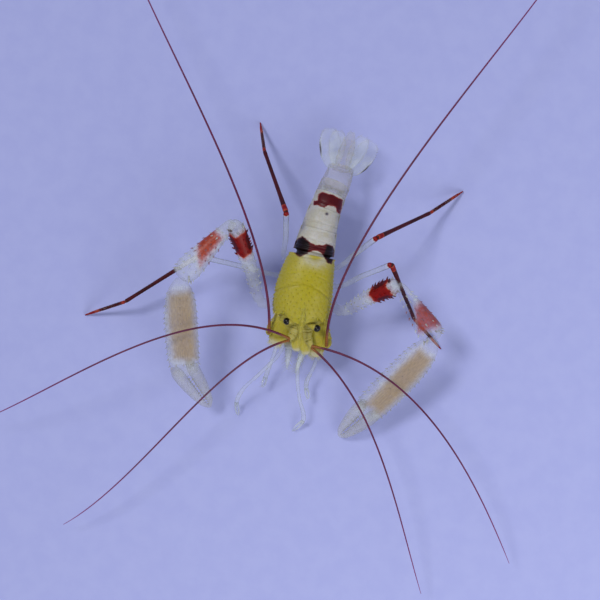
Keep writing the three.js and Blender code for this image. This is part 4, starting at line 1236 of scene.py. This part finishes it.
def shin(name, knee, ankle):
    skin = Skin(f"{name}_carpus_shell")
    line = straight(knee, ankle, SHIN_RINGS * ROWS_PER_LEG_RING + 1)
    t = line.place
    wave = np.cos(TAU * SHIN_RINGS * t) * smoothstep(0.12, 0.3, t)
    knots = ((0, 0.36), (0.03, 0.47), (0.1, 0.44), (0.3, 0.37), (0.85, 0.33), (0.97, 0.36), (1, 0.24))
    girth = profile(t, *knots) * (1 - 0.05 * wave**4)
    joint = smoothstep(0.93, 1.0, t)
    # the left fourth leg's shin is half clear as far as the claw's wrist covers it
    covered = (name == "leg_4_left") * smoothstep(0.33, 0.28, t)
    dark = (0.5 + 0.2 * hump(t, 0.72, 0.2)) * smoothstep(0.05, 0.16, t) * (1 - 0.3 * joint) * (1 - covered)
    red = (1.05 * hump(t, 0.055, 0.05) + 0.5 * joint) * (1 - covered)
    pale = 0.7 * hump(t, 0.045, 0.012) + covered
    skin.tube(line, girth, 28, red=red, dark=dark, pale=pale, clear=1.2 * covered)
    skin.studs(line, 0.3, (0.965,), (0.6, 2.5, 4.2, 5.2), rise=0.12, reach=0.34, size=0.06, sides=6, dark=1.0)
    skin.build("dark", f"{name}_carpus")


def foot(name, number, ankle, toe, hairs):
    skin = Skin(f"{name}_propodus_limb")
    ahead = unit(toe - ankle)
    line = straight(ankle, toe - ahead * 0.85 + point(0, 0, 0.1), FOOT_RINGS * ROWS_PER_LEG_RING + 1)
    t = line.place
    wave = np.cos(TAU * FOOT_RINGS * t)
    girth = profile(t, (0, 0.22), (0.03, 0.31), (0.4, 0.3), (0.9, 0.24), (1, 0.16)) * (1 - 0.06 * wave**4)
    toe_red, ankle_red = smoothstep(0.55, 0.95, t), hump(t, 0, 0.08)
    red = 0.4 + 0.7 * toe_red + 0.5 * ankle_red
    skin.tube(line, girth, 26, red=red, dark=0.66 - 0.6 * toe_red - 0.4 * ankle_red)
    places = np.arange(1, 15) / 15
    skin.studs(
        line, girth, places, (4.4, 5.0), rise=0.08, reach=0.26, size=0.035, sides=6, rows=5, red=0.4, dark=0.8
    )
    for place in places:
        here = line.value(place, girth)
        for k in range(3):
            where, fore, out = line.round(place, draw.uniform(0.2, 2.9))
            size = draw.uniform(0.25, 0.5)
            patch = (0.1 + 0.2 * number + 0.1 * place, 0.1 + 0.25 * k + 0.1 * draw.uniform())
            way = out * (0.1 * here + 0.6 * size) + fore * size
            hairs.hair(where + out * here * 0.9, way, girth=0.015, patch=patch)
    # the last joint ends in two small claws on the floor
    level = unit(ahead * point(1, 1, 0))
    start = line.points[-1]
    for reach, stout in ((0.0, 0.15), (0.42, 0.11)):
        tip = toe - level * reach + point(0, 0, 0.02)
        nail = curve([start, (start + tip) / 2 + level * 0.16 + point(0, 0, 0.1), tip], 26)
        skin.tube(nail, nail.profile((0, stout), (0.5, stout * 0.8), (1, 0.02)), 16, red=1.0)
    skin.build("dark", f"{name}_propodus")


def walking_legs():
    hairs = Skin("walking_leg_bristles")
    for number, (name, stops) in enumerate(WALKING_LEGS.items()):
        root, bend, knee, ankle, toe = np.array(stops, float)
        thigh(name, root, bend, knee)
        shin(name, knee, ankle)
        foot(name, number, ankle, toe, hairs)
    hairs.build("bristle")


# -------------------------------- great claws

# root, elbow, knee, wrist, finger root and tip
CLAWS = {
    "left": [
        (-2.5, -5.5, 4.5), (-7, -9.7, 7.4), (-14.5, 3.4, 16), (-22, -7.8, 15), (-18.7, -23.6, 9.5),
        (-13.1, -29.7, 4),
    ],
    "right": [
        (2.9, -5.3, 4.5), (6.4, -8.6, 7.4), (15.5, -2.3, 13.5), (23.8, -10.7, 11), (14.3, -25.4, 5),
        (10.2, -31, 1.4),
    ],
}
ARM_PATCH = {"left": (0.735, 0.91), "right": (0.72, 0.925)}  # where the red patch starts and stops
PALM_HALF_WIDTH, PALM_HALF_HEIGHT, FINGER_SPREAD = 2.9, 1.7, 1.4
FINGER_MARKS = {"pale": 0.6, "clear": 0.7, "tan": 0.1}


def spine_row(skin, line, wide, tall, places, turns, size, **marks):
    """Forward spines in rows along a limb."""
    for turn in turns:
        for place in places:
            place = float(np.clip(place + draw.uniform(-0.012, 0.012), 0.01, 0.99))
            where, ahead, side, up = line.at(place)
            beside, over = side * math.cos(turn), up * math.sin(turn)
            root = where + (beside * line.value(place, wide) + over * line.value(place, tall)) * 0.97
            reach = size * draw.uniform(0.75, 1.15)
            tip = root + (beside + over + ahead) * reach * 0.75
            picked = {k: v(place) if callable(v) else v for k, v in marks.items()}
            skin.spine(root, tip, 0.26 * reach + 0.02, (beside + over) * 0.08, sides=7, rows=6, **picked)


# in the three parts of a claw, inner is the sign of the side nearer the body


def claw_arm(name, root, elbow, knee):
    skin = Skin(f"claw_{name}_arm_shell")
    line = curve([root, elbow, (elbow + knee) / 2, knee], 240)
    t = line.place[:, None]
    angle = angles(52)[None]
    knots = (
        (0, 0.75), (0.15, 0.8), (0.35, 0.95), (0.55, 1.15), (0.75, 1.42), (0.9, 1.58), (0.965, 1.3),
        (1, 0.7),
    )
    wide = jointed(line, knots, (0.12, 0.33), depth=0.16, width=0.012)
    first, last = ARM_PATCH[name]
    wander = 0.012 * np.sin(3 * angle) + 0.01 * np.sin(5 * angle + 1)
    edge = np.minimum(t - first - wander, last + wander - t) * line.length
    on_top = smoothstep(-0.75, -0.1, np.sin(angle))
    red = np.clip(0.5 + edge, 0, 1.5) * on_top
    blush = np.clip(0.55 + 0.6 * (edge + 0.7), 0, 1) * on_top * 0.75
    opaque = 0.9 * np.clip(np.maximum(red, 0.6 * blush), 0, 1)
    marks = {
        "red": red * 1.15,
        # painted shade: the red patch is painted deeper maroon on both flanks, where the round arm turns away
        # from view
        "maroon": np.clip(0.3 + 0.5 * edge, 0, 0.85) * smoothstep(0.1, 0.75, np.abs(np.cos(angle))),
        "blush": blush,
        "clear": (0.9 - 0.18 * smoothstep(0.4, 0.8, t)) * (1 - opaque),
        "smoke": 0.45 * hump(t, 0.955, 0.012) * hump(angle, math.pi / 2, 0.5),
        "along": t * line.length,
        "across": np.sin(angle - 0.6) * 1.3,
    }
    skin.tube(line, wide, 52, flat=0.9, squareness=2.15, **marks)
    hip(skin, [root, elbow], stout=0.85, clear=0.6)
    limb = (skin, line, wide, wide * 0.9)
    red_here = lambda p: 1.1 if first < p < last else 0.0
    spine_row(*limb, np.arange(0.42, 0.95, 0.055), (0.35, 1.2, 2.0, 2.85), size=0.5, red=red_here, clear=0.6)
    spine_row(*limb, np.arange(first + 0.01, last, 0.045), (0.0, 3.1), size=0.6, red=1.1, maroon=0.7)
    spine_row(*limb, (0.935,), (0.5, 1.57, 3.7, 5.6), size=0.75, smoke=0.25, clear=0.4)
    spine_row(*limb, (0.95,), (2.4,), size=0.95, smoke=1.0, dark=0.55)
    skin.build("claw", f"claw_{name}_arm")


def claw_wrist(name, inner, knee, wrist):
    skin = Skin(f"claw_{name}_wrist_shell")
    line = straight(knee, wrist, 170)
    t = line.place[:, None]
    angle = angles(60)[None]
    toward = inner * np.cos(angle)
    knots = (
        (0, 0.6), (0.06, 0.95), (0.16, 1.15), (0.35, 1.5), (0.6, 1.95), (0.8, 2.22), (0.9, 2.05), (0.97, 1.5),
        (1, 0.9),
    )
    wide = line.profile(*knots)
    flat = line.profile((0, 0.95), (0.5, 0.85), (1, 0.8))
    bulge = lambda p, a: 1 + 0.05 * hump(p, 0.86, 0.04) - 0.04 * hump(p, 0.94, 0.02)
    # the red patch: where it starts and stops, how far across it reaches, and how strong it is
    if name == "left":
        start, stop, beside, strong = 0.22, 0.66 + 0.12 * toward, 0.65 - toward, 0.75
    else:
        start, stop, beside, strong = 0.36 + 0.38 * np.clip(toward, 0, 1), 0.83 - 0.05 * toward, 1.0, 0.62
    edge = np.minimum(t - start, stop - t) * line.length
    on_top = smoothstep(-0.5, 0.25, np.sin(angle))
    patch = np.clip(0.5 + 0.55 * np.minimum(edge, beside * 2.0), 0, 1.2) * on_top
    # the right wrist is clearer on the side nearer the body
    window = (name == "right") * smoothstep(-0.6, 0.1, toward)
    marks = {
        "blush": patch,
        "red": (strong - 0.22) * patch,
        # painted shade: the flanks are painted a little less clear, where the round wrist turns away from
        # view
        "clear": (0.86 + 0.35 * window) * (1 - strong * np.clip(patch, 0, 1)) - 0.08 * np.abs(np.cos(angle)),
        "pale": 0.1,
        "smoke": window * smoothstep(0.04, 0.1, t) * (1 - np.clip(1.5 * patch, 0, 1)),
        "along": t * line.length,
        "across": np.sin(angle - 0.6) * 2.0,
    }
    skin.tube(line, wide, 60, flat, squareness=2.25, reach=bulge, **marks)
    limb = (skin, line, wide, wide * flat)
    tinted = lambda p: 0.9 if 0.36 < p < 0.66 else 0.0
    spine_row(
        *limb, np.arange(0.2, 0.92, 0.1), (0.25, 0.9, 1.57, 2.25, 2.9), size=0.5, blush=tinted, clear=0.5
    )
    spine_row(*limb, (0.93,), (0.1, 0.7, 2.45, 3.05, 4.2, 5.3), size=0.7, pale=0.6, clear=0.4)
    skin.build("claw", f"claw_{name}_wrist")


def finger(skin, inner, base, tip, hand):
    """One finger: hand 1 is the movable one, on the side nearer the body."""
    way = unit(tip - base)
    side = unit(np.cross(way, UP))
    up = np.cross(side, way)
    length = float(np.linalg.norm(tip - base))
    start = -0.5 if hand > 0 else -1.2
    p = np.linspace(0, 1, 110)
    along = start + p * (length - start)
    q = np.clip(along / length, 0, 1)
    aside = inner * hand * (FINGER_SPREAD + (0.5 - FINGER_SPREAD) * q**1.5 - 0.4 * smoothstep(0.8, 1.0, q))
    line = Line(base + way * along[:, None] + side * aside[:, None] - up * (0.25 * q**3)[:, None])
    knots = ((0, 0.75), (0.12, 1.12), (0.35, 1.06), (0.65, 0.82), (0.88, 0.46), (0.97, 0.2), (1, 0.05))
    wide = profile(p, *knots)
    flat = profile(p, (0, 1.0), (0.4, 0.95), (1, 0.9))
    ridge = lambda t, a: 1 + 0.05 * hump(a, math.pi / 2, 0.25) * smoothstep(1.0, 0.7, t)
    skin.shell(rings(line, wide, wide * flat, sides=44, squareness=2.1, reach=ridge), **FINGER_MARKS)
    inward = side * -inner * hand
    for k, place in enumerate(np.arange(0.3, 0.93, 0.055)):
        root = line.at(place)[0] + inward * float(np.interp(place, p, wide)) * 0.8
        tip = root + inward * (0.42 if k % 3 else 0.6) * (1.05 - 0.6 * place)
        skin.spine(root, tip, 0.22 * (1.1 - 0.6 * place), sides=10, rows=6, pale=1.0, clear=0.3)
    places = np.arange(0.3, 0.75, 0.11)
    spine_row(skin, line, wide, wide * flat, places, (1.1, 2.0), size=0.28, pale=0.6, clear=0.5)


def claw_hand(name, inner, wrist, base, tip):
    way, finger_way = unit(base - wrist), unit(tip - base)
    side, finger_side = (unit(np.cross(v, UP)) for v in (way, finger_way))
    skin = Skin(f"claw_{name}_palm_shell")
    middle = (wrist + base) / 2 - side * inner * 0.18
    line = curve([wrist + way * 0.15, middle, base - way * 1.2, base + (way + finger_way) * 0.55], 230)
    t = line.place[:, None]
    angle = angles(72)[None]
    toward = inner * np.cos(angle)
    width_knots = (
        (0, 0.26), (0.03, 0.42), (0.09, 0.66), (0.22, 0.9), (0.4, 0.99), (0.6, 1), (0.8, 0.95), (0.93, 0.86),
        (0.98, 0.72), (1, 0.5),
    )
    height_knots = (
        (0, 0.42), (0.05, 0.62), (0.15, 0.86), (0.35, 1), (0.6, 0.99), (0.85, 0.86), (0.97, 0.72), (1, 0.5),
    )
    wide = PALM_HALF_WIDTH * line.profile(*width_knots)
    tall = PALM_HALF_HEIGHT * line.profile(*height_knots)
    # the tan patch: where it starts and stops, how far it reaches to each side, and how strong it is
    if name == "left":
        start, stop, near, far = 0.09, 0.83, 0.95, 1.12 - 0.42 * t
        strength = 0.84 + 0.24 * toward
    else:
        start, stop, near, far = 0.12, 0.88, 0.6 - 0.22 * t, 0.85 + 0.1 * t
        strength = 1.08 - 0.25 * t
    spread = np.minimum(t - start, stop - t) * line.length
    across = np.minimum(near - toward, far + toward) * PALM_HALF_WIDTH
    patch = np.clip(0.5 + 0.5 * np.minimum(spread, across), 0, 1.25) * strength
    streak = 0.2 * hump(toward, 0.25, 0.22) * smoothstep(0.2, 0.4, t)
    tan = patch * smoothstep(-0.3, 0.3, np.sin(angle)) + streak
    folds = lambda p, a: 1 + 0.02 * hump(np.abs(np.cos(a)), 0.6, 0.12) - 0.015 * hump(p, 0.06, 0.015)
    marks = {
        "tan": tan,
        "clear": 0.86 - 0.56 * np.clip(tan, 0, 1),
        "pale": 0.3,
        "along": t * line.length * 0.8,
        "across": np.abs(toward) * 2.2,
    }
    skin.shell(rings(line, wide, tall, sides=72, squareness=2.35, reach=folds), **marks)
    limb = (skin, line, wide, tall)
    spine_row(*limb, np.arange(0.14, 0.93, 0.062), (0.12, 0.55, 2.6, 3.02), size=0.45, pale=0.6, clear=0.55)
    spine_row(*limb, np.arange(0.18, 0.9, 0.085), (1.05, 1.57, 2.1), size=0.28, tan=0.7, clear=0.4)
    finger(skin, inner, base, tip, -1)
    skin.build("claw", f"claw_{name}_palm")

    thumb = Skin(f"claw_{name}_finger_shell")
    finger(thumb, inner, base, tip, 1)
    hinge = base - finger_way * 0.5 + finger_side * inner * FINGER_SPREAD
    knob, girth = ball(
        hinge, radius=0.82, axis=np.cross(finger_side, finger_way) * 0.95, count=30, close=0.05
    )
    thumb.tube(knob, girth, 30, pale=0.6, clear=0.7)
    thumb.build("claw", f"claw_{name}_finger")


def claws():
    for name, inner in HANDS.items():
        root, elbow, knee, wrist, base, tip = np.array(CLAWS[name], float)
        claw_arm(name, root, elbow, knee)
        claw_wrist(name, inner, knee, wrist)
        claw_hand(name, inner, wrist, base, tip)


# -------------------------------- floor, light and camera

FLOOR_HALF, FLOOR_STEPS, FLOOR_LEVEL = 1.2, 8, -0.00002  # metres
CAMERA_PLACE = point(-0.82, -7.99, 400.0)
CAMERA_TURN = 10  # degrees


def lay_floor():
    ticks = np.linspace(-FLOOR_HALF, FLOOR_HALF, FLOOR_STEPS + 1)
    row = FLOOR_STEPS + 1
    corners = [k * row + i for k in range(FLOOR_STEPS) for i in range(FLOOR_STEPS)]
    mesh = bpy.data.meshes.new("floor")
    points = [(x, y, FLOOR_LEVEL) for y in ticks for x in ticks]
    mesh.from_pydata(points, [], [(a, a + 1, a + row + 1, a + row) for a in corners])
    n = Nodes("floor_pale")
    paint = n.mix(n.ranged(n.noise(0.3), 0.3, 0.7), colour(176, 182, 237), colour(180, 186, 239))
    n.set(Base_Color=paint, Roughness=0.85)
    mesh.materials.append(n.material)
    floor = bpy.data.objects.new("floor", mesh)
    bpy.context.scene.collection.objects.link(floor)
    floor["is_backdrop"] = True


def stage():
    lay_floor()
    world = bpy.data.worlds.new("studio")
    world.use_nodes = True
    world.node_tree.nodes["Background"].inputs["Color"].default_value = (0.80, 0.84, 1.0, 1)
    world.node_tree.nodes["Background"].inputs["Strength"].default_value = 0.32
    bpy.context.scene.world = world

    key = bpy.data.lights.new("key", "SUN")
    key.energy, key.angle, key.color = 1.25, 0.24, (1.0, 0.99, 0.97)
    fill = bpy.data.lights.new("fill", "AREA")
    fill.shape, fill.size, fill.energy, fill.color = "DISK", 0.24, 0.36, (1.0, 1.0, 0.98)
    for light, place in ((key, (-0.28, 0.14, 0.52)), (fill, (0.17, -0.18, 0.22))):
        lamp = bpy.data.objects.new(light.name, light)
        lamp.location = place
        lamp.rotation_euler = (-Vector(place)).to_track_quat("-Z", "Y").to_euler()
        lamp.visible_camera = False
        bpy.context.scene.collection.objects.link(lamp)

    camera = bpy.data.objects.new("camera", bpy.data.cameras.new("camera"))
    camera.data.lens, camera.data.sensor_width = 133.33, 36.0
    camera.data.clip_start, camera.data.clip_end = 0.01, 20.0
    camera.location = ((CAMERA_PLACE + SHIFT * point(1, 1, 0)) * MM).tolist()
    camera.rotation_euler = (0, 0, math.radians(CAMERA_TURN))
    bpy.context.scene.collection.objects.link(camera)
    bpy.context.scene.camera = camera
    bpy.context.scene.view_settings.view_transform = "Standard"


carapace()
underside()
head_core()
for number in range(6):
    somite(number)
swimmerets()
tail_fan()
eyes()
head_parts()
feelers()
mouth_legs()
slim_legs()
walking_legs()
claws()
stage()

looks_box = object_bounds()
as_lists = lambda box: [[float(v) for v in corner] for corner in box]
{"cad": as_lists(cad_box), "looks": as_lists(looks_box)}
